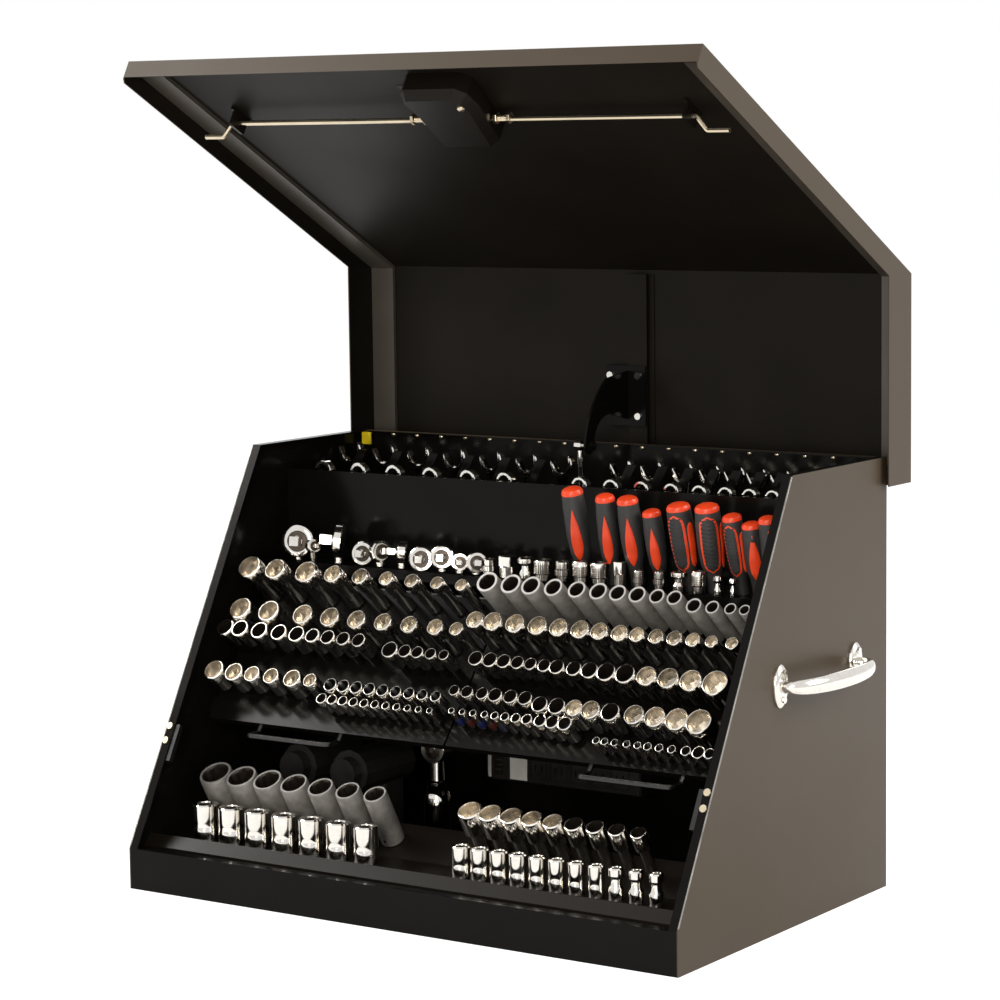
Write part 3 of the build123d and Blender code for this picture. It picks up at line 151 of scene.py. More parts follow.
# Darkened steel: painted shade inside socket bores, socket floors and drive holes; it also darkens
# the ratchet faces and the strip's switch.
DARK_STEEL_BORE_SHADE = material("dark_steel_bore_shade", (0.05, 0.04, 0.032), 0.35, 0.8, shade=0.3, grain=200, bump=0.05)
BORE_LIT = material(
    "bore_lit", (0.68, 0.63, 0.55), 0.18, 0.93, shade=0.4, grain=45, bump=0.06,
    stretch=(1.6, 0.5, 0.5)
)
ZINC = material(
    "zinc_plate", (0.55, 0.47, 0.34), 0.3, 1.0, shade=0.12, grain=120, bump=0.06,
    stretch=(0.2, 1, 1)
)
IMPACT = material(
    "impact_steel", (0.23, 0.222, 0.208), 0.5, 0.35, shade=0.22, grain=90, bump=0.2, bump_grain=700
)
IMPACT_RIM = material("impact_rim", (0.42, 0.41, 0.39), 0.42, 0.5, shade=0.15, grain=120, bump=0.1)
RUBBER = material(
    "grip_rubber", (0.022, 0.022, 0.022), 0.55, specular=0.4, shade=0.2, grain=80, bump=0.25
)
ORANGE = material(
    "grip_orange", (0.86, 0.062, 0.012), 0.36, specular=0.5, shade=0.1, grain=60, bump=0.06
)
PLASTIC = material(
    "black_plastic", (0.016, 0.0155, 0.0145), 0.4, specular=0.4, shade=0.2, grain=70, bump=0.2
)
LABEL = material("bare_label", (0.8, 0.79, 0.76), 0.5, shade=0.05, grain=90, bump=0.05)
YELLOW = material("yellow_plastic", (0.78, 0.6, 0.01), 0.45, shade=0.08, grain=90, bump=0.08)
BLUE_BAND = material("blue_band", (0.006, 0.012, 0.06), 0.4, shade=0.15, grain=90, bump=0.06)
RED_BAND = material("red_band", (0.05, 0.009, 0.006), 0.4, shade=0.15, grain=90, bump=0.06)
STRUT_PAINT = material(
    "strut_paint", (0.006, 0.006, 0.006), 0.25, specular=0.5, shade=0.2, grain=40, bump=0.04
)

NODE_MATERIALS = {
    SHEEN_LIFTED_PAINT: (
        "side_panel_left", "side_panel_right", "back_panel", "lid_side_left", "lid_side_right"
    ),
    RIM_PAINT: ("lid_edge_strips",),
    LID_SHADE_PAINT: ("lid_skin", "lid_stiffener"),
    LIP_PAINT: ("front_tray", "latch_cover", "latch_rod_guides"),
    SHADE_DARKENED_PAINT: (
        "floor_pan", "tool_shelf", "wrench_rack_left", "wrench_rack_right", "socket_tray_left",
        "socket_tray_right", "tray_rod_hangers", "tray_rest_bar", "strut_arm",
    ),
    STRUT_PAINT: ("strut_cylinder", "bail_left", "bail_right", "strikers", "tray_pivot_rod"),
    PLASTIC: ("power_strip", "power_outlets", "latch_dish", "latch_handle", "air_tools"),
    CHROME: ("strut_rod", "screwdriver_blades", "carry_handle_screws", "strut_arm_screws"),
    ZINC: (
        "hinge_leaf_chest", "hinge_leaf_lid", "hinge_pin", "strut_foot",
        "striker_screws", "latch_cover_screws", "latch_cam", "latch_rod_left", "latch_rod_right",
    ),
}
for finish, names in NODE_MATERIALS.items():
    for name in names:
        mesh = nodes[name].data
        mesh.materials.clear()
        mesh.materials.append(finish)


def second_side(name, finish, belongs):
    """Give the faces of a sheet that look one way a second finish: a darker copy of the paint for
    painted shade, or the lighter copy for painted sheen.
    """
    mesh = nodes[name].data
    mesh.materials.append(finish)
    world = nodes[name].matrix_world
    turn = world.to_3x3()
    for polygon in mesh.polygons:
        if belongs(world @ polygon.center / MM, turn @ polygon.normal):
            polygon.material_index = 1


def panel_depth(point):
    """How deep into the chest a point is from the lid's long panel."""
    return -(point.y - LID_BACK_Y) * sin(PANEL_RISE) - (point.z - LID_CORNER_Z) * cos(PANEL_RISE)


def faces_out_of_lid(point, normal):
    """True on the lid sheet's outer faces, its front flange's among them."""
    over = normal.dot(Vector((0, sin(PANEL_RISE), cos(PANEL_RISE)))) > 0.7
    behind = normal.y > 0.7 and point.y > LID_BACK_Y - 1
    before = normal.y < -0.5 and panel_depth(point) > 2 and point.z > 900
    return over or behind or before


# Inward faces of the side, lid-side and back panels take darkened paint, painted shade; the lid
# skin's outward faces take the lifted outer paint, painted sheen.
for name in ("side_panel_left", "side_panel_right"):
    second_side(
        name, SHADE_DARKENED_PAINT, lambda point,
        normal: abs(point.x) < HALF_WIDTH - 1.2 and normal.x * point.x <= 0.2
    )
for name in ("lid_side_left", "lid_side_right"):
    second_side(name, LID_SHADE_PAINT, lambda point, normal: normal.x * point.x < -0.5)
second_side("back_panel", SHADE_DARKENED_PAINT, lambda point, normal: normal.y < -0.5)
second_side("lid_skin", SHEEN_LIFTED_PAINT, faces_out_of_lid)


# ---------------------------------------------------------------- mesh tools
def placed(origin, along=(0, 0, 1), across=(1, 0, 0)):
    """Local millimetres to the frame's metres: local z runs along, local x across."""
    z = Vector(along).normalized()
    x = Vector(across)
    x = (x - x.dot(z) * z).normalized()
    turn = Matrix((x, z.cross(x), z)).transposed().to_4x4()
    return Matrix.Scale(MM, 4) @ Matrix.Translation(Vector(origin)) @ turn


def skin(bm, matrix, rings, slot=0, caps=(True, True), loop=False):
    """A surface through rings of equal count, counter-clockwise as seen from local +z."""
    rows = [[bm.verts.new(matrix @ Vector(point)) for point in ring] for ring in rings]
    pairs = list(zip(rows, rows[1:])) + ([(rows[-1], rows[0])] if loop else [])
    count = len(rows[0])
    faces = []
    for lower, upper in pairs:
        for i in range(count):
            j = (i + 1) % count
            faces.append(bm.faces.new((lower[i], lower[j], upper[j], upper[i])))
    if not loop and caps[0]:
        faces.append(bm.faces.new(rows[0][::-1]))
    if not loop and caps[1]:
        faces.append(bm.faces.new(rows[-1]))
    for face in faces:
        face.material_index = slot
    return faces


def ring(radius, z, count=24, sides=0, points=False, offset=(0, 0)):
    """A ring at z: round, on a polygon's sides, or in and out like a fluted bore."""
    result = []
    for i in range(count):
        angle = 2 * pi * i / count
        r = radius
        if sides:
            r *= cos(pi / sides) / cos(angle % (2 * pi / sides) - pi / sides)
        if points and i % 2:
            r *= 0.925
        result.append((offset[0] + r * cos(angle), offset[1] + r * sin(angle), z))
    return result


def turned(bm, matrix, profile, slot=0, count=24, caps=(True, True)):
    """A body turned about local z from (radius, z) pairs in rising order."""
    return skin(bm, matrix, [ring(radius, z, count) for radius, z in profile], slot, caps)


def inset(outline, amount):
    """An outline moved inwards by an amount."""
    result = []
    count = len(outline)
    for i in range(count):
        before, here, after = (Vector(outline[k % count]) for k in (i - 1, i, i + 1))
        a = (here - before).normalized()
        b = (after - here).normalized()
        normal = (Vector((-a.y, a.x)) + Vector((-b.y, b.x))).normalized()
        result.append(tuple(here + normal * amount))
    return result


def plate(bm, matrix, outline, low, high, bevel=0.6, slot=0):
    """A flat piece with broken edges, from a counter-clockwise outline."""
    small = inset(outline, bevel)
    rings = [
        [(x, y, low) for x, y in small],
        [(x, y, low + bevel) for x, y in outline],
        [(x, y, high - bevel) for x, y in outline],
        [(x, y, high) for x, y in small],
    ]
    return skin(bm, matrix, rings, slot)


def rounded(width, height, radius, steps=4):
    """The outline of a rounded rectangle about the middle."""
    points = []
    for cx, cy, start in ((1, 1, 0), (-1, 1, 90), (-1, -1, 180), (1, -1, 270)):
        for i in range(steps + 1):
            angle = radians(start + 90 * i / steps)
            points.append(
                (
                    cx * (width / 2 - radius) + radius * cos(angle),
                    cy * (height / 2 - radius) + radius * sin(angle)
                )
            )
    return points


def washer(bm, matrix, outer, inner, low, high, points=False, slots=(0, 0), count=24):
    """A flat ring with a round outside and a plain or fluted hole."""
    edge = min(0.7, (high - low) / 5)
    rings = [
        ring(inner, low, count, points=points),
        ring(outer - edge, low, count),
        ring(outer, low + edge, count),
        ring(outer, high - edge, count),
        ring(outer - edge, high, count),
        ring(inner + edge, high, count, points=points),
    ]
    skin(bm, matrix, rings, slots[0], caps=(False, False))
    skin(
        bm, matrix, [rings[5], ring(inner, high - edge, count, points=points), rings[0]], slots[1],
        caps=(False, False)
    )


def swept(bm, points, section, slot=0, up=(0, 0, 1), caps=(True, True)):
    """A section, or one section for each point, carried along points in millimetres."""
    points = [Vector(point) for point in points]
    rings = []
    for i, point in enumerate(points):
        ahead = points[min(i + 1, len(points) - 1)]
        behind = points[max(i - 1, 0)]
        matrix = placed(point, ahead - behind, Vector(up))
        outline = section[i] if isinstance(section[0][0], tuple) else section
        rings.append([tuple(matrix @ Vector((x, y, 0)) / MM) for x, y in outline])
    return skin(bm, Matrix.Scale(MM, 4), rings, slot, caps)


def round_section(radius, count=10):
    """The section of a round wire."""
    return [
        (radius * cos(2 * pi * i / count), radius * sin(2 * pi * i / count)) for i in range(count)
    ]


def piece(name, bm, finishes, body, replaced=(), sharp=32):
    """Turn a bmesh into a shaded object that rides on a body of the frame."""
    bmesh.ops.recalc_face_normals(bm, faces=bm.faces)
    mesh = bpy.data.meshes.new(name)
    bm.to_mesh(mesh)
    bm.free()
    for finish in finishes:
        mesh.materials.append(finish)
    for polygon in mesh.polygons:
        polygon.use_smooth = True
    mesh.set_sharp_from_angle(angle=radians(sharp))
    made = bpy.data.objects.new(name, mesh)
    bpy.context.scene.collection.objects.link(made)
    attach(made, body)
    if replaced:
        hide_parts(*replaced)
    return made


def on_tray(x, station, height):
    """A point over a socket tray: station down its slope, height off its face."""
    y = TRAY_TOP_Y - station * cos(TRAY_ANGLE) - height * sin(TRAY_ANGLE)
    z = TRAY_TOP_Z - station * sin(TRAY_ANGLE) + height * cos(TRAY_ANGLE)
    return (x, y, z)


TRAY_OUT = (0, -sin(TRAY_ANGLE), cos(TRAY_ANGLE))


def on_ramp(x, along, height):
    """A point over the front tray's ramp."""
    y = RAMP_Y + along * cos(RAMP_ANGLE) - height * sin(RAMP_ANGLE)
    z = FRONT_TRAY_Z + along * sin(RAMP_ANGLE) + height * cos(RAMP_ANGLE)
    return (x, y, z)


def on_panel(x, station, depth):
    """A point under the lid's long panel: station from its back corner, depth into the chest."""
    y = LID_BACK_Y - station * cos(PANEL_RISE) - depth * sin(PANEL_RISE)
    z = LID_CORNER_Z + station * sin(PANEL_RISE) - depth * cos(PANEL_RISE)
    return (x, y, z)


# ---------------------------------------------------------------- sockets
MOUTH_FLARE = 1.15


def socket(bm, matrix, radius, length, bore="flute", waist=1.0, slots=(0, 0), wall=0.15):
    """A socket hanging below its mouth at local 0, with its square drive end at the bottom."""
    radius *= MOUTH_FLARE
    opening = (1 - 0.72 * wall) * radius
    hexagon = 6 if bore == "hex" else 0
    fluted = bore == "flute"
    # A dark bore is plain and deep, and callers give it the darkened steel: painted shade.
    depth = {"flute": 1.4, "hex": 1.9, "dark": 2.2}[bore] * radius
    depth = min(depth, 0.8 * length)
    neck = waist * radius
    shoulder = -min(0.45 * length, 2.2 * radius)
    edge = 0.06 * radius
    outside = [
        ring(neck - edge, -length),
        ring(neck, -length + edge),
        ring(neck, shoulder - 0.35 * radius),
        ring(radius, shoulder),
        ring(radius, -2 * edge),
        ring(radius - edge, -0.4 * edge),
        ring(radius - 2 * edge, 0),
        ring(opening, 0, sides=0),
    ]
    skin(bm, matrix, outside, slots[0], caps=(True, False))
    inside = [
        outside[-1],
        ring(opening * 0.985, -edge * 2, sides=hexagon, points=fluted),
        ring(opening * 0.985, -depth, sides=hexagon, points=fluted),
    ]
    skin(bm, matrix, inside, slots[1], caps=(False, False))
    floor = [inside[-1], ring(0.45 * opening, -depth - 0.12 * radius)]
    skin(bm, matrix, floor, slots[1], caps=(False, True))


def socket_row(bm, xs, diameters, station, height, length, **look):
    """A row of sockets with their mouths over a tray."""
    for x, diameter in zip(xs, diameters):
        socket(bm, placed(on_tray(x, station, height), TRAY_OUT), diameter / 2, length, **look)


def spread(first, last, count):
    """Evenly spaced values."""
    return [first + (last - first) * i / (count - 1) for i in range(count)]


bm = bmesh.new()
socket_row(
    bm, (-349, -309, -262, -221, -180, -141, -104, -67, -32), (28, 25, 26, 21, 19, 17, 16, 15, 14),
    19.7, 65.8, 64,
    bore="flute", waist=0.86, slots=(0, 2),
)
socket_row(
    bm, (-344, -300, -248, -207, -167, -128, -90, -52, -22), (27, 26, 24, 23, 22, 21, 20, 19, 16),
    72.7, 54.8, 53,
    bore="flute", waist=0.86, slots=(0, 2),
)
socket_row(
    bm, (-355, -332, -302, -272, -245, -221, -198, -175, -152),
    (21, 20, 20, 19, 19, 17, 17, 16, 16), 99.8, 53.3, 30,
    bore="dark", slots=(0, 1), wall=0.12,
)
socket_row(
    bm, (-105, -83, -65, -46, -27), (19, 15, 14, 13, 12), 106.5, 50.4, 28, bore="dark",
    slots=(0, 1), wall=0.13,
)
piece(
    "sockets_left_upper", bm, (CHROME, DARK_STEEL_BORE_SHADE, BORE_LIT), "tray_left",
    ("sockets_left_large",)
)

bm = bmesh.new()
socket_row(
    bm, (-351, -320, -292, -263, -231, -204), (24, 22, 19, 19, 21, 16), 155, 44, 30, bore="flute",
    slots=(0, 2),
)
socket_row(
    bm, spread(-174, -21, 9), spread(15.5, 12.5, 9), 156.8, 41.8, 26, bore="dark", slots=(0, 1),
    wall=0.17
)
socket_row(
    bm, spread(-183, -26, 11), spread(12.5, 7, 11), 173.1, 35.6, 25, bore="dark", slots=(0, 1),
    wall=0.2
)
piece(
    "sockets_left_lower", bm, (CHROME, DARK_STEEL_BORE_SHADE, BORE_LIT), "tray_left",
    ("sockets_left_small",)
)

bm = bmesh.new()
for number, (x, diameter) in enumerate(
    zip(
        (5, 38, 66, 97, 129, 158, 184, 210, 236, 259, 287, 311, 334, 352),
        (24, 23, 22, 21, 20, 20, 19, 19, 17, 17, 17, 15, 13, 12),
    )
):
    lower = 8 if number > 9 else 0
    mouth = placed(on_tray(x, 15 + lower, 68.5), TRAY_OUT)
    socket(bm, mouth, diameter / 2, 67, bore="hex", slots=(0, 2), wall=0.24)
    washer(bm, mouth, 0.56 * diameter, 0.44 * diameter, -0.2, 0.5, slots=(1, 1))
piece(
    "sockets_grey_impact", bm, (IMPACT, IMPACT_RIM, DARK_STEEL_BORE_SHADE), "tray_right",
    ("sockets_right_impact",)
)

bm = bmesh.new()
socket_row(
    bm, (1, 26, 57, 88, 117, 146, 172, 199, 222, 247, 271, 295, 319, 345),
    (20, 22, 22, 22, 21, 21, 20, 19, 17, 17, 17, 16, 14, 14), 60.1, 58.5, 57,
    bore="flute", waist=0.84, slots=(0, 2), wall=0.15,
)
socket_row(
    bm, (18, 38, 57, 76, 94), (17, 17, 16, 15, 14), 106.5, 50.4, 28, bore="dark", slots=(0, 1),
    wall=0.15
)
socket_row(
    bm, (114, 131, 154, 175, 197, 222), (15, 17, 17, 19, 21, 22), 107.7, 52.2, 34, bore="dark",
    slots=(0, 1), wall=0.17
)
socket_row(
    bm, (250, 278, 307, 338), (22, 23, 24, 28), 107.7, 52.2, 34, bore="flute", slots=(0, 2),
    wall=0.14
)
piece(
    "sockets_right_upper", bm, (CHROME, DARK_STEEL_BORE_SHADE, BORE_LIT), "tray_right",
    ("sockets_right_large",)
)

bm = bmesh.new()
socket_row(
    bm, (3, 21, 42, 60, 81, 101), (12, 14, 14, 16, 16, 16), 148.1, 44.9, 28, bore="dark",
    slots=(0, 1), wall=0.16
)
socket_row(bm, (124, 147, 218), (18, 19, 21), 154.3, 46.1, 34, bore="dark", slots=(0, 1), wall=0.17)
socket_row(
    bm, (170, 192, 249, 276, 304, 332), (19, 21, 22, 23, 25, 28), 154.3, 46.1, 34, bore="flute",
    slots=(0, 2), wall=0.14
)
pin_xs = (4, 19, 34, 50, 64, 78, 93, 108, 126, 142, 159)
pin_sizes = (7, 7, 8, 8, 9, 10, 11, 12, 14, 15, 16)
socket_row(bm, pin_xs, pin_sizes, 170.1, 36, 30, bore="dark", slots=(0, 1), wall=0.22)
bit_xs = (205, 216, 229, 245, 259, 272, 287, 303, 321, 337, 351)
bit_sizes = (8, 8, 8, 8, 8, 9, 9, 9, 11, 14, 12)
socket_row(bm, bit_xs, bit_sizes, 184.7, 32, 22, bore="dark", slots=(0, 1), wall=0.22)
piece(
    "sockets_right_lower", bm, (CHROME, DARK_STEEL_BORE_SHADE, BORE_LIT), "tray_right",
    ("sockets_right_small",)
)

# coloured sleeves on the smallest sockets' lower halves
bm = bmesh.new()
for number, (x, size) in enumerate(zip(pin_xs, pin_sizes)):
    seat = placed(on_tray(x, 170.1, 7), TRAY_OUT)
    turned(
        bm, seat,
        ((size / 2 + 0.2, 0), (size / 2 + 0.7, 1), (size / 2 + 0.7, 13), (size / 2 + 0.2, 14)),
        number % 2, 16
    )
for number, (x, size) in enumerate(zip(bit_xs[:9], bit_sizes)):
    seat = placed(on_tray(x, 184.7, 10.5), TRAY_OUT)
    turned(
        bm, seat,
        ((size / 2 + 0.2, 0), (size / 2 + 0.6, 1), (size / 2 + 0.6, 9), (size / 2 + 0.2, 10)),
        (number + 1) % 2, 16
    )
piece("colour_sleeves", bm, (BLUE_BAND, RED_BAND), "tray_right")

# black rubber studs that hold the sockets, seen in the smaller mouths
bm = bmesh.new()
for x in spread(-174, -21, 9):
    stud = placed(on_tray(x, 156.8, 41.8), TRAY_OUT)
    turned(bm, stud, ((2.4, -16), (2.4, 4), (1.6, 5.5)), 0, 10)
piece("left_peg_tips", bm, (PLASTIC,), "tray_left")
bm = bmesh.new()
for x in spread(205, 303, 8):
    stud = placed(on_tray(x, 184.7, 32), TRAY_OUT)
    turned(bm, stud, ((1.4, -8), (1.4, 3.0), (0.8, 4.0)), 0, 8)
piece("right_peg_tips", bm, (PLASTIC,), "tray_right")


# ---------------------------------------------------------------- front tray
def upright_socket(bm, x, radius, height, waisted):
    """A chrome socket standing mouth down, with a band, a chamfered top and its square drive hole."""
    base = placed((x, -156, FRONT_TRAY_Z))
    neck = 0.68 * radius if waisted else radius
    profile = (
        (radius - 0.6, 0.2), (radius, 0.8), (radius, 0.36 * height), (radius - 0.4, 0.39 * height),
        (neck, 0.5 * height), (neck, 0.66 * height), (radius, 0.76 * height),
        (radius, height - 1.6),
        (radius - 1.4, height),
    )
    turned(bm, base, profile, 0, 32, caps=(True, False))
    hole = 0.42 * radius
    rim = [
        ring(radius - 1.4, height, 32), ring(0.62 * radius, height, 32),
        ring(0.6 * radius, height - 1.2, 32)
    ]
    skin(bm, base, rim, 0, caps=(False, False))
    # The square drive hole takes the darkened steel: painted shade.
    well = [
        ring(0.6 * radius, height - 1.2, 32), ring(hole, height - 1.4, 32, sides=4),
        ring(hole, height - 11, 32, sides=4)
    ]
    skin(bm, base, well, 1, caps=(False, True))


bm = bmesh.new()
for x, radius in zip(spread(-330, -90, 7), spread(16.5, 14.6, 7)):
    upright_socket(bm, x, radius, 44, False)
for number, (x, radius) in enumerate(zip(spread(45, 305, 11), spread(11.5, 8.5, 11))):
    upright_socket(bm, x, radius, 37, number > 7)
piece("front_short_sockets", bm, (CHROME, DARK_STEEL_BORE_SHADE), "chest", ("front_sockets",))

RAMP_OUT = (0, -sin(RAMP_ANGLE), cos(RAMP_ANGLE))
bm = bmesh.new()
for number, (x, radius) in enumerate(zip(spread(36, 263, 9), spread(13, 8.7, 9))):
    mouth = placed(on_ramp(x, RAMP_SEAT, 66), RAMP_OUT)
    socket(
        bm, mouth, radius, 65.5, bore="flute" if number < 5 else "dark", waist=0.68,
        slots=(0, 2 if number < 5 else 1)
    )
piece(
    "front_deep_chrome_sockets", bm, (CHROME, DARK_STEEL_BORE_SHADE, BORE_LIT), "chest",
    ("front_deep_sockets",)
)

bm = bmesh.new()
for x, radius in zip(spread(-337, -97, 7), spread(18, 12.5, 7)):
    mouth = placed(on_ramp(x, RAMP_SEAT, 70), RAMP_OUT)
    socket(bm, mouth, radius, 69.5, bore="hex", slots=(0, 2), wall=0.2)
    washer(bm, mouth, 1.1 * radius, 0.95 * radius, -0.2, 0.5, slots=(1, 1))
    hole = placed(on_ramp(x, RAMP_SEAT, 9), (0, -cos(RAMP_ANGLE), -sin(RAMP_ANGLE)), (1, 0, 0))
    turned(
        bm, hole, ((2.1, radius - 1), (2.1, 1.15 * radius + 0.1), (1.7, 1.15 * radius + 0.2)), 2, 14
    )
piece(
    "front_grey_impact_sockets", bm, (IMPACT, IMPACT_RIM, DARK_STEEL_BORE_SHADE), "chest",
    ("front_impact_sockets",)
)


# ---------------------------------------------------------------- wrenches
def jaw_outline(radius, opening, facing):
    """An open-ended head about the origin, its jaws facing an angle in degrees."""
    half_gap = asin(opening / 2 / radius)
    turn = radians(facing)
    points = []
    for i in range(25):
        angle = turn + half_gap * 1.25 + (2 * pi - 2.5 * half_gap) * i / 24
        bulge = radius * (1.0 + 0.1 * abs(sin(angle - turn)))
        points.append((bulge * cos(angle), bulge * sin(angle)))
    for i in range(9):
        angle = turn - pi / 2 - pi * i / 8
        reach = opening / 2
        centre = -0.02 * radius
        points.append(
            (centre * cos(turn) + reach * cos(angle), centre * sin(turn) + reach * sin(angle))
        )
    return points


REAR_XS = (-357, -304, -249, -194, -139, -85, -34, 52, 95, 139, 176, 210, 240, 272, 300, 326, 350)
bm = bmesh.new()
for number, x in enumerate(REAR_XS):
    radius = 15.5 - 0.28 * number
    head_z = DECK_Z + radius + 20
    centre = placed((x, 184, head_z), (0, -1, 0))
    plate(bm, centre, jaw_outline(radius + 0.6, 1.5 * radius, 104), -5.2, 5.2, 1.2)
    foot = DECK_Z - 130 - head_z
    shank = [
        (-4.4, foot), (4.4, foot), (4.6, -2.4 * radius), (0.62 * radius, -0.72 * radius),
        (-0.62 * radius, -0.72 * radius), (-4.6, -2.4 * radius)
    ]
    plate(bm, centre, shank, -1.9, 1.9, 0.6)
piece("open_end_wrenches", bm, (CHROME,), "chest", ("open_wrenches",))

FRONT_XS = (-337, -282, -228, -172, -116, -62, 46, 90, 132, 173, 211, 246, 278, 308, 336)
bm = bmesh.new()
for number, x in enumerate(FRONT_XS):
    radius = 12.5 - 0.25 * number
    head_z = FASCIA_TOP_Z - 0.2 * radius
    centre = placed((x, 101, head_z), (0, -1, 0.04))
    washer(bm, centre, radius, 0.68 * radius, -5.4, 5.4, points=True)
    foot = DECK_Z - 130 - head_z
    shank = [
        (-4.4, foot), (4.4, foot), (4.6, -2.2 * radius), (5.6, -0.9 * radius),
        (-5.6, -0.9 * radius), (-4.6, -2.2 * radius)
    ]
    plate(bm, placed((x, 101, head_z), (0, -1, 0)), shank, -1.9, 1.9, 0.6)
piece("ring_end_wrenches", bm, (CHROME,), "chest", ("ring_wrenches",))

# bright rivets along the back edge of the racks, and a yellow-tipped gauge at the left end
bm = bmesh.new()
for x in spread(-366, 312, 19):
    turned(
        bm, placed((x, 236.2, 506), (0, -1, 0)), ((3.4, 0), (3.2, 1.2), (2.2, 2.2), (0.8, 2.6)), 0,
        14
    )
piece("back_rivets", bm, (ZINC,), "chest")
bm = bmesh.new()
plate(bm, placed((-366, 230, 500), (0, -1, 0)), rounded(14, 16, 1), 0, 3, 0.5)
piece("yellow_tip", bm, (YELLOW,), "chest")


# ---------------------------------------------------------------- screwdrivers
def grip_radius(share, full, slim):
    """A grip's radius at a share of its height: slim neck, swelling, slim waist, rounded top."""
    stops = (
        (0, 0.62), (0.1, 0.6), (0.2, 0.66), (0.34, 0.9), (0.55, 1.0), (0.75, 0.99), (0.9, 0.93),
        (0.96, 0.86), (1.0, 0.7)
    )
    for (a, low), (b, high) in zip(stops, stops[1:]):
        if share <= b:
            t = (share - a) / (b - a)
            t = t * t * (3 - 2 * t)
            return full * (low + (high - low) * t) * (1 - slim * (0.5 - share) * 0.2)
    return full * 0.7


def grip_patch(
    bm, matrix, full, height, slim, low, high, half_angle, facing, rise, slot, flame=True, rows=18,
    columns=7
):
    """A raised inset that follows a grip's surface, pointed at the top or rounded at both ends."""
    grid = []
    for i in range(rows + 1):
        t = i / rows
        share = low + (high - low) * t
        if flame:
            spread_here = half_angle * min(1, (4 * t) ** 0.5) * (
                1 - max(0, (t - 0.3) / 0.7) ** 1.6
            ) + 0.01
        else:
            spread_here = half_angle * (1 - (2 * t - 1) ** 6) ** 0.5 + 0.01
        line = []
        for k in range(columns + 1):
            angle = facing + spread_here * (2 * k / columns - 1)
            edge = rise * (1 - (2 * k / columns - 1) ** 8)
            r = grip_radius(share, full, slim) + edge
            line.append(
                bm.verts.new(matrix @ Vector((r * cos(angle), r * sin(angle), share * height)))
            )
        grid.append(line)
    for lower, upper in zip(grid, grid[1:]):
        for k in range(columns):
            face = bm.faces.new((lower[k], lower[k + 1], upper[k + 1], upper[k]))
            face.material_index = slot


def grip_chevrons(bm, matrix, full, height, slim, low, high, half_angle, facing, count):
    """Raised chevrons up the face of a grip."""
    for number in range(count):
        share = low + (high - low) * (number + 0.5) / count
        for side in (-1, 1):
            corners = []
            for k in range(4):
                t = k / 3
                angle = facing + side * half_angle * 0.86 * t
                centre = share + 0.022 * t
                for half in (-0.0065, 0.0065):
                    r = grip_radius(centre + half, full, slim) + 1.7
                    corners.append(
                        Vector((r * cos(angle), r * sin(angle), (centre + half) * height))
                    )
            low_side = corners[0::2]
            high_side = corners[1::2]
            top = [bm.verts.new(matrix @ p) for p in low_side + high_side[::-1]]
            base = [
                bm.verts.new(
                    matrix @ Vector((p.x * 0.93, p.y * 0.93, p.z))
                ) for p in low_side + high_side[::-1]
            ]
            if side < 0:
                top.reverse()
                base.reverse()
            bm.faces.new(top)
            for i in range(len(top)):
                j = (i + 1) % len(top)
                bm.faces.new((base[i], base[j], top[j], top[i]))


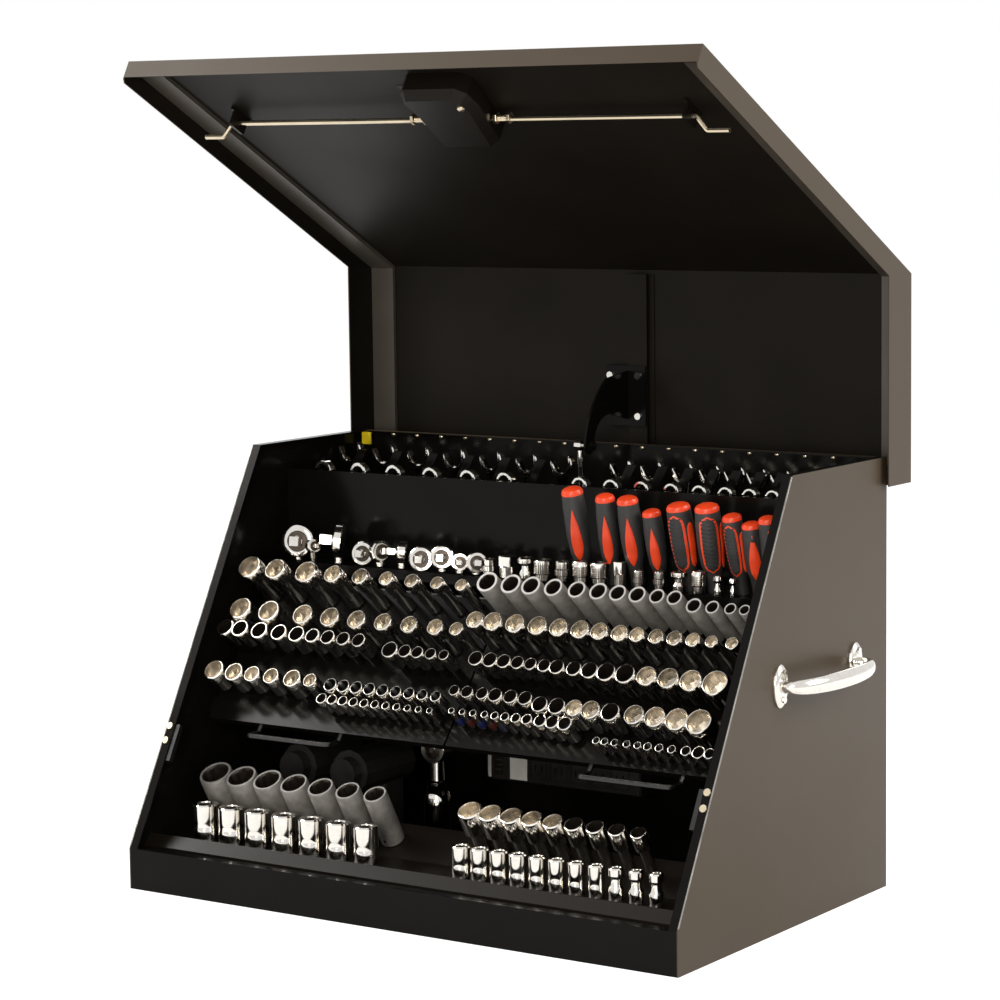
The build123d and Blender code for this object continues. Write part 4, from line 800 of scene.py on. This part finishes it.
DRIVER_XS = (82, 121, 155, 187, 226, 259, 295, 316, 338)
DRIVER_TOPS = (480, 474, 473, 459, 469, 470, 460, 452, 460)
DRIVER_RADII = (14, 12.5, 13.6, 12, 15.2, 15.6, 12.5, 12.2, 11.5)
DRIVER_LEANS = (-2, 1, -1, -2, -3, 0, -3, -1, -1)
bm = bmesh.new()
for number, (x, top, full, lean) in enumerate(
    zip(DRIVER_XS, DRIVER_TOPS, DRIVER_RADII, DRIVER_LEANS)
):
    height = top - SHELF_Z
    tilt = radians(lean)
    axis = Vector((sin(tilt), -0.2, 1)).normalized()
    foot = Vector((x, 53, SHELF_Z + 1))
    base = placed(foot, axis)
    slim = 0.1
    body = [(grip_radius(i / 22, full, slim), height * i / 22) for i in range(22)]
    turned(bm, base, body, 0, 28)
    dome_low = grip_radius(0.935, full, slim)
    dome = [
        (dome_low + 0.3, 0.93 * height), (dome_low + 0.35, 0.955 * height),
        (dome_low * 0.9, 0.985 * height), (dome_low * 0.62, height * 1.002),
        (dome_low * 0.2, height * 1.008)
    ]
    turned(bm, base, dome, 1, 28)
    facing = radians(-62)
    if number < 4:
        grip_patch(
            bm, base, full, height, slim, 0.24, 0.8, radians(30), facing + radians(-8), 0.7, 1
        )
    elif number in (4, 5, 6):
        turn = facing + (radians(-24) if number != 5 else 0)
        grip_patch(bm, base, full, height, slim, 0.24, 0.9, radians(44), turn, 0.45, 1, flame=False)
        grip_patch(bm, base, full, height, slim, 0.26, 0.88, radians(38), turn, 0.9, 0, flame=False)
        grip_chevrons(bm, base, full, height, slim, 0.3, 0.86, radians(36), turn, 12)
        grip_patch(
            bm, base, full, height, slim, 0.28, 0.8, radians(20), turn + radians(72), 0.6, 1,
            flame=False
        )
    else:
        grip_patch(bm, base, full, height, slim, 0.22, 0.86, radians(34), facing, 0.8, 1)
        eye = base @ Matrix.Translation((full * cos(facing), full * sin(facing), 0.8 * height))
        eye = eye @ Vector((cos(facing), sin(facing), 0)).to_track_quat("Z", "X").to_matrix().to_4x4()
        turned(bm, eye, ((2.8, -2), (2.8, 0.9), (2.2, 1.1)), 0, 16)
    tip = placed(foot - axis * 1, -axis)
    turned(bm, tip, ((3.4, 0), (3.4, 78), (3.0, 86)), 2, 14, caps=(True, False))
    flat = [[(3.0 * cos(a), 3.0 * sin(a), 86) for a in [2 * pi * k / 14 for k in range(14)]],
            [(3.4 * cos(a), 0.6 * sin(a), 98) for a in [2 * pi * k / 14 for k in range(14)]]]
    skin(bm, tip, flat, 2, caps=(False, True))
piece(
    "screwdriver_handles", bm, (RUBBER, ORANGE, CHROME), "chest",
    ("screwdriver_grips", "screwdriver_blades"),
)


# ---------------------------------------------------------------- ratchets and adaptors on the shelf
def ratchet(bm, x, y, z, radius, facing, handle_lean):
    """A round ratchet head on edge with its square drive, dial and the top of its handle."""
    look = (sin(radians(facing)), -cos(radians(facing)), 0.1)
    head = placed((x, y, z), look)
    turned(
        bm, head,
        (
            (radius * 0.86, -6), (radius, -4.4), (radius, 3.6), (radius * 0.9, 5),
            (radius * 0.72, 5.2)
        ),
        0, 36
    )
    turned(bm, head, ((radius * 0.66, 5.2), (radius * 0.62, 6.2), (radius * 0.36, 6.3)), 1, 36)
    turned(bm, head, ((radius * 0.34, 6), (radius * 0.34, 8), (radius * 0.28, 8.4)), 0, 24)
    drive = rounded(0.62 * radius, 0.62 * radius, 1)
    plate(bm, head, drive, 8, 8 + 0.75 * radius, 0.7)
    neck = [
        (x, y, z - 0.8 * radius), (x + handle_lean * 0.4, y, z - 1.5 * radius),
        (x + handle_lean, y, SHELF_Z + 0.4)
    ]
    if neck[2][2] < neck[1][2] - 2:
        swept(
            bm, neck,
            [(0.45 * radius * cos(a), 5 * sin(a)) for a in [2 * pi * k / 12 for k in range(12)]], 0,
            up=(1, 0, 0)
        )
    else:
        turned(
            bm, placed((x, y, SHELF_Z + 0.4)), ((5, 0), (6, 1), (6, z - SHELF_Z - 0.6 * radius)), 0,
            16
        )


bm = bmesh.new()
ratchet(bm, -329, 34, 390, 20, 22, 0)
ratchet(bm, -303, 30, 386, 9, 60, 0)
ratchet(bm, -266, 34, 394, 21, -62, 6)
ratchet(bm, -228, 34, 381, 15, 14, 0)
ratchet(bm, -203, 34, 385, 14, 66, 4)
ratchet(bm, -170, 34, 386, 14, -60, 4)
ratchet(bm, -140, 33, 380, 15.5, 22, 0)
ratchet(bm, -110, 34, 384, 14.5, 24, 0)
ratchet(bm, -84, 34, 380, 11, 30, 0)
ratchet(bm, -60, 34, 381, 13, 40, 2)
piece("ratchet_heads", bm, (CHROME, DARK_STEEL_BORE_SHADE), "chest", ("ratchets",))


def adaptor(bm, x, y, radius, height, kind):
    """A chrome adaptor: stepped, knurled with grooves, waisted or with a square block on top."""
    base = placed((x, y, SHELF_Z + 0.3))
    radius *= 1.14
    if kind == "block":
        turned(
            bm, base,
            ((radius * 0.8, 0), (radius, 1), (radius, height * 0.5), (radius * 0.8, height * 0.55)),
            0, 24
        )
        plate(bm, base, rounded(1.7 * radius, 1.5 * radius, 1.2), height * 0.5, height, 1.0)
        return
    profile = [(radius * 0.75, 0), (radius * 0.8, 0.8), (radius * 0.8, height * 0.3)]
    if kind == "knurl":
        profile += [(radius, height * 0.36)]
        for i in range(4):
            z = height * (0.4 + 0.1 * i)
            profile += [
                (radius, z), (radius * 0.93, z + height * 0.02), (radius * 0.93, z + height * 0.05),
                (radius, z + height * 0.07)
            ]
        profile += [(radius, height - 2), (radius * 0.92, height - 0.6), (radius * 0.8, height)]
    elif kind == "waist":
        profile += [
            (radius * 0.55, height * 0.45), (radius * 0.55, height * 0.62), (radius, height * 0.75),
            (radius, height - 1.5), (radius * 0.8, height)
        ]
    else:
        profile += [
            (radius, height * 0.34), (radius, height * 0.6), (radius * 0.86, height * 0.64),
            (radius * 0.86, height - 1.2), (radius * 0.74, height)
        ]
    turned(bm, base, profile, 0, 28, caps=(True, False))
    top = profile[-1][0]
    skin(
        bm, base,
        [ring(top, height, 28), ring(top * 0.8, height, 28), ring(top * 0.72, height - 5, 28)], 1,
        caps=(False, True)
    )


bm = bmesh.new()
for x, radius, height, kind in (
    (-41, 8, 21, "step"), (-15, 8.5, 26, "block"), (11, 8.5, 26, "waist"), (36, 10, 25, "knurl"),
    (63, 8.5, 25, "step"),
    (89, 9.5, 27, "knurl"), (115, 10, 27, "knurl"), (142, 6, 30, "block"), (168, 6.5, 21, "step"),
    (196, 7, 22, "step"),
    (222, 8.5, 24, "waist"), (248, 7.5, 26, "knurl"), (273, 5, 22, "waist"), (293, 4, 20, "waist"),
):
    adaptor(bm, x, 33, radius, height, kind)
piece("shelf_adaptors", bm, (CHROME, DARK_STEEL_BORE_SHADE), "chest", ("adaptors",))


# a pale metallic bead along the outer edge of each side's slope: a painted highlight for the light
# the sheet's rounded bend catches
SLOPE_LOW = (-236.4, 52)
SLOPE_HIGH = (12, 508.2)
for side, name in ((-1, "left"), (1, "right")):
    bm = bmesh.new()
    edge = side * (HALF_WIDTH - 0.6)
    swept(bm, [(edge, *SLOPE_LOW), (edge, *SLOPE_HIGH)], round_section(0.9), 0, up=(1, 0, 0))
    piece("slope_bend_highlight_" + name, bm, (BEND_HIGHLIGHT,), "chest")


# ---------------------------------------------------------------- carry handles
def handle_section(height, thickness):
    """A D-shaped bar section: sketch x is up, sketch y is across the bar."""
    return [(
        0.5 * height * cos(a), 0.5 * thickness * sin(a) * (1.0 if sin(a) > 0 else 0.9)
    ) for a in
            [2 * pi * (k + 0.5) / 20 for k in range(20)]]


for side, name in ((-1, "left"), (1, "right")):
    bm = bmesh.new()
    wall = side * HALF_WIDTH
    path = []
    sections = []
    for i in range(25):
        t = i / 24
        angle = pi * t
        reach = 5 + 34.5 * sin(angle) ** 0.62
        y = 69 - 88 * cos(angle) * (0.94 + 0.06 * abs(cos(angle)))
        path.append((wall + side * reach, y, 279))
        sections.append([(x, y2) for x, y2 in handle_section(15 + 6 * sin(angle), 12.5)])
    swept(bm, path, sections, 0, up=(0, 0, 1))
    for foot_y in (-19, 157):
        foot = placed((wall, foot_y, 279), (side, 0, 0), (0, 0, 1))
        oval = [(24.5 * cos(2 * pi * k / 36), 14 * sin(2 * pi * k / 36)) for k in range(36)]
        scale = ((1.0, 0.3), (1.0, 2.6), (0.94, 4.2), (0.8, 5.6), (0.45, 6.4))
        skin(bm, foot, [[(x * s, y * s, z) for x, y in oval] for s, z in scale])
        for rise in (-15, 15):
            turned(
                bm, placed((wall, foot_y, 279 + rise), (side, 0, 0)),
                ((4.6, 4.2), (4.4, 5.6), (3.2, 6.8), (1.4, 7.4)), 0, 20
            )
    piece("carry_handle_bar_" + name, bm, (CHROME,), "chest", ("carry_handle_" + name,))

# ---------------------------------------------------------------- latch details under the lid
for side, body, x in ((1, "rod_right", 56), (-1, "rod_left", -34.5)):
    bm = bmesh.new()
    matrix = placed(on_panel(x, 412, 13), (side, 0, 0), (0, 0, 1))
    skin(
        bm, matrix,
        [
            ring(6.4, 0.6, 24, sides=6), ring(7, 1.2, 24, sides=6), ring(7, 5, 24, sides=6),
            ring(6.4, 5.8, 24, sides=6)
        ]
    )
    profile = []
    for i in range(9):
        profile += [(3.6, 6 + 1.4 * i), (4.1, 6.7 + 1.4 * i)]
    turned(bm, matrix, profile, 0, 20)
    skin(
        bm, matrix,
        [
            ring(6.0, 19, 24, sides=6), ring(6.6, 19.6, 24, sides=6), ring(6.6, 22.4, 24, sides=6),
            ring(6.0, 23, 24, sides=6)
        ]
    )
    piece("rod_nuts_" + body, bm, (ZINC,), body)

# the cover over the latch: a shell with cut corners that leans to one side as it nears the front
COVER_OUTLINE = (
    (-30, 376), (44, 376), (66, 458), (66, 484), (56, 496), (-14, 496), (-24, 486), (-24, 450)
)
bm = bmesh.new()
matrix = placed(on_panel(0, 0, 0), (0, -sin(PANEL_RISE), -cos(PANEL_RISE)))
small = inset(COVER_OUTLINE, 8)
thin = inset(COVER_OUTLINE, 1.5)
smaller = inset(COVER_OUTLINE, 9.5)
shell = [
    [(x, y, 0.4) for x, y in COVER_OUTLINE], [(x, y, 22) for x, y in COVER_OUTLINE],
    [(x, y, 33) for x, y in small],
]
lining = [
    [(x, y, 31.5) for x, y in smaller], [(x, y, 21) for x, y in thin],
    [(x, y, 0.4) for x, y in thin]
]
skin(bm, matrix, shell, 0, caps=(False, True))
skin(
    bm, matrix, [shell[0][::-1], lining[2][::-1], lining[1][::-1], lining[0][::-1]], 0,
    caps=(False, True)
)
plate(bm, matrix, [(-46, 454), (-23, 450), (-23, 472), (-46, 470)], 0.3, 2.0, 0.3)
turned(
    bm, matrix @ Matrix.Translation((-36, 462, 2)), ((4.6, 0), (4.2, 1.6), (2.6, 2.8), (0.8, 3.1)),
    1, 18
)
turned(
    bm, matrix @ Matrix.Translation((53, 470, 32.6)),
    ((4.8, 0), (4.4, 1.8), (2.6, 3.0), (0.8, 3.3)), 1, 18
)
piece(
    "latch_shell", bm, (LIP_PAINT, ZINC), "lid",
    ("latch_cover", "latch_cover_screws"), sharp=25
)

# ---------------------------------------------------------------- power strip face
bm = bmesh.new()
front = placed((0, STRIP_FACE_Y, 0), (0, -1, 0), (1, 0, 0))


def strip_place(x, z):
    """A spot on the strip's front face."""
    return placed((x, STRIP_FACE_Y, z), (0, -1, 0))


for x in spread(-86, 34, 5):
    spot = strip_place(x, 98)
    outer = rounded(25, 26, 2)
    inner = rounded(22.5, 23.5, 1.6)
    skin(
        bm, spot,
        [
            [(a, b, 0.1) for a, b in outer], [(a, b, 0.7) for a, b in outer],
            [(a, b, 0.7) for a, b in inner], [(a, b, -0.8) for a, b in inner]
        ],
        0, caps=(False, False)
    )
    for dx, tall in ((-3.4, 4.4), (3.4, 5.4)):
        plate(
            bm, spot, [(dx - 0.9, 1), (dx + 0.9, 1), (dx + 0.9, 1 + tall), (dx - 0.9, 1 + tall)],
            -0.9, -0.45, 0.1, 2
        )
    turned(bm, strip_place(x, 92.5), ((2.1, -0.9), (2.1, -0.45)), 2, 14)
plate(bm, strip_place(-116, 98), rounded(26, 34, 0.8), 0.05, 0.35, 0.1, 1)
plate(bm, strip_place(-146, 98), rounded(13, 26, 1.5), 0.05, 0.6, 0.3, 2)
for z in (92, 98, 104):
    plate(bm, strip_place(-146, z), rounded(9, 2.2, 0.4), 0.6, 0.9, 0.1, 3)
plate(bm, strip_place(-160, 98), rounded(5, 34, 0.8), 0.05, 0.5, 0.15, 1)
piece("strip_face_details", bm, (PLASTIC, LABEL, DARK_STEEL_BORE_SHADE, ZINC), "chest")

# ---------------------------------------------------------------- air tools under the trays
bm = bmesh.new()
spine = placed((-120, 30, 1.5))
turned(
    bm, spine,
    ((7, 0), (9.5, 1), (9.5, 12), (8, 14), (8, 20), (14, 30), (16.4, 40), (17, 60), (16.6, 84), (15,
    94), (12, 98),
     (12.6, 102), (12.6, 108), (9, 110), (8.4, 124), (8.4, 134)),
    0, 32,
)
head = placed((-120, 30, 150), (0, -1, 0))
washer(bm, head, 17, 10.5, -10, 10, slots=(0, 1), count=36)
turned(bm, head, ((10.4, -8), (10.4, 5), (7.5, 5.4)), 1, 36)
plate(bm, head, rounded(7.5, 7.5, 0.8), 5, 10.6, 0.6)
piece("upright_air_ratchet", bm, (CHROME, DARK_STEEL_BORE_SHADE), "chest", ("air_ratchet",))

# ---------------------------------------------------------------- stage, light and camera
def backdrop_material(name, color, glow):
    """A pale surface that the camera and mirrors see near white, while it still takes shadows."""
    made = bpy.data.materials.new(name)
    made.use_nodes = True
    tree = made.node_tree
    shader = tree.nodes["Principled BSDF"]
    shader.inputs["Base Color"].default_value = color
    shader.inputs["Roughness"].default_value = 0.9
    shader.inputs["Specular IOR Level"].default_value = 0.0
    path = tree.nodes.new("ShaderNodeLightPath")
    seen = tree.nodes.new("ShaderNodeMath")
    seen.operation = "MAXIMUM"
    tree.links.new(path.outputs["Is Camera Ray"], seen.inputs[0])
    tree.links.new(path.outputs["Is Glossy Ray"], seen.inputs[1])
    seen_too = tree.nodes.new("ShaderNodeMath")
    seen_too.operation = "MAXIMUM"
    tree.links.new(seen.outputs[0], seen_too.inputs[0])
    tree.links.new(path.outputs["Is Transmission Ray"], seen_too.inputs[1])
    level = tree.nodes.new("ShaderNodeMath")
    level.operation = "MULTIPLY"
    level.inputs[1].default_value = glow
    tree.links.new(seen_too.outputs[0], level.inputs[0])
    shader.inputs["Emission Color"].default_value = (1, 1, 1, 1)
    tree.links.new(level.outputs[0], shader.inputs["Emission Strength"])
    return made


bpy.ops.mesh.primitive_plane_add(size=60, location=(0, 0, 0))
floor = bpy.context.object
floor.name = "floor"
floor.data.materials.append(backdrop_material("pale_floor", (0.5, 0.5, 0.495, 1), 0.86))

scene = bpy.context.scene
scene.view_settings.view_transform = "Standard"
world = bpy.data.worlds.new("studio")
scene.world = world
world.use_nodes = True
sky = world.node_tree
ambient = sky.nodes["Background"]
ambient.inputs["Color"].default_value = (0.9, 0.93, 1.0, 1)
ambient.inputs["Strength"].default_value = 0.35
white = sky.nodes.new("ShaderNodeBackground")
white.inputs["Color"].default_value = (1, 1, 1, 1)
white.inputs["Strength"].default_value = 1.0
path = sky.nodes.new("ShaderNodeLightPath")
seen = sky.nodes.new("ShaderNodeMath")
seen.operation = "MAXIMUM"
seen_too = sky.nodes.new("ShaderNodeMath")
seen_too.operation = "MAXIMUM"
mix = sky.nodes.new("ShaderNodeMixShader")
sky.links.new(path.outputs["Is Camera Ray"], seen.inputs[0])
sky.links.new(path.outputs["Is Glossy Ray"], seen.inputs[1])
sky.links.new(seen.outputs[0], seen_too.inputs[0])
sky.links.new(path.outputs["Is Transmission Ray"], seen_too.inputs[1])
sky.links.new(seen_too.outputs[0], mix.inputs["Fac"])
sky.links.new(ambient.outputs[0], mix.inputs[1])
sky.links.new(white.outputs[0], mix.inputs[2])
sky.links.new(mix.outputs[0], sky.nodes["World Output"].inputs["Surface"])


def lamp(name, place, aim, size, power, color=(1, 1, 1)):
    """A square area lamp that faces a point."""
    data = bpy.data.lights.new(name, "AREA")
    data.size = size
    data.energy = power
    data.color = color
    made = bpy.data.objects.new(name, data)
    made.location = place
    made.rotation_euler = (Vector(aim) - Vector(place)).to_track_quat("-Z", "Y").to_euler()
    scene.collection.objects.link(made)
    return made


lamp("key", (-3.2, -1.2, 2.6), (0, 0, 0.3), 1.6, 110, (1.0, 0.97, 0.93))
lamp("side", (3.2, 1.2, 1.9), (0.2, 0, 0.4), 2.0, 95, (1.0, 0.95, 0.88))
lamp("front", (1.4, -3.2, 1.5), (0, 0, 0.3), 1.0, 40, (1.0, 0.92, 0.8))
lamp("bay", (0.7, -2.6, 0.5), (0, 0, 0.1), 0.5, 16, (1.0, 0.94, 0.85))
lamp("back", (-1.0, 3.0, 2.4), (0, 0, 0.4), 1.8, 60)

CAMERA_PLACE = (2.05279, -3.00423, 0.88989)
CAMERA_YAW = radians(34.37)
CAMERA_PITCH = radians(6.69)
CAMERA_ROLL = radians(-0.75)
forward = Vector(
    (-sin(CAMERA_YAW) * cos(CAMERA_PITCH), cos(CAMERA_YAW) * cos(CAMERA_PITCH), -sin(CAMERA_PITCH))
)
level_right = forward.cross(Vector((0, 0, 1))).normalized()
level_up = level_right.cross(forward)
right = level_right * cos(CAMERA_ROLL) + level_up * sin(CAMERA_ROLL)
up = level_up * cos(CAMERA_ROLL) - level_right * sin(CAMERA_ROLL)
lens = bpy.data.cameras.new("camera")
lens.sensor_width = 36
lens.lens = 112.66
lens.clip_end = 60
camera = bpy.data.objects.new("camera", lens)
camera.matrix_world = Matrix((right, up, -forward)).transposed().to_4x4()
camera.matrix_world.translation = Vector(CAMERA_PLACE)
scene.collection.objects.link(camera)
scene.camera = camera
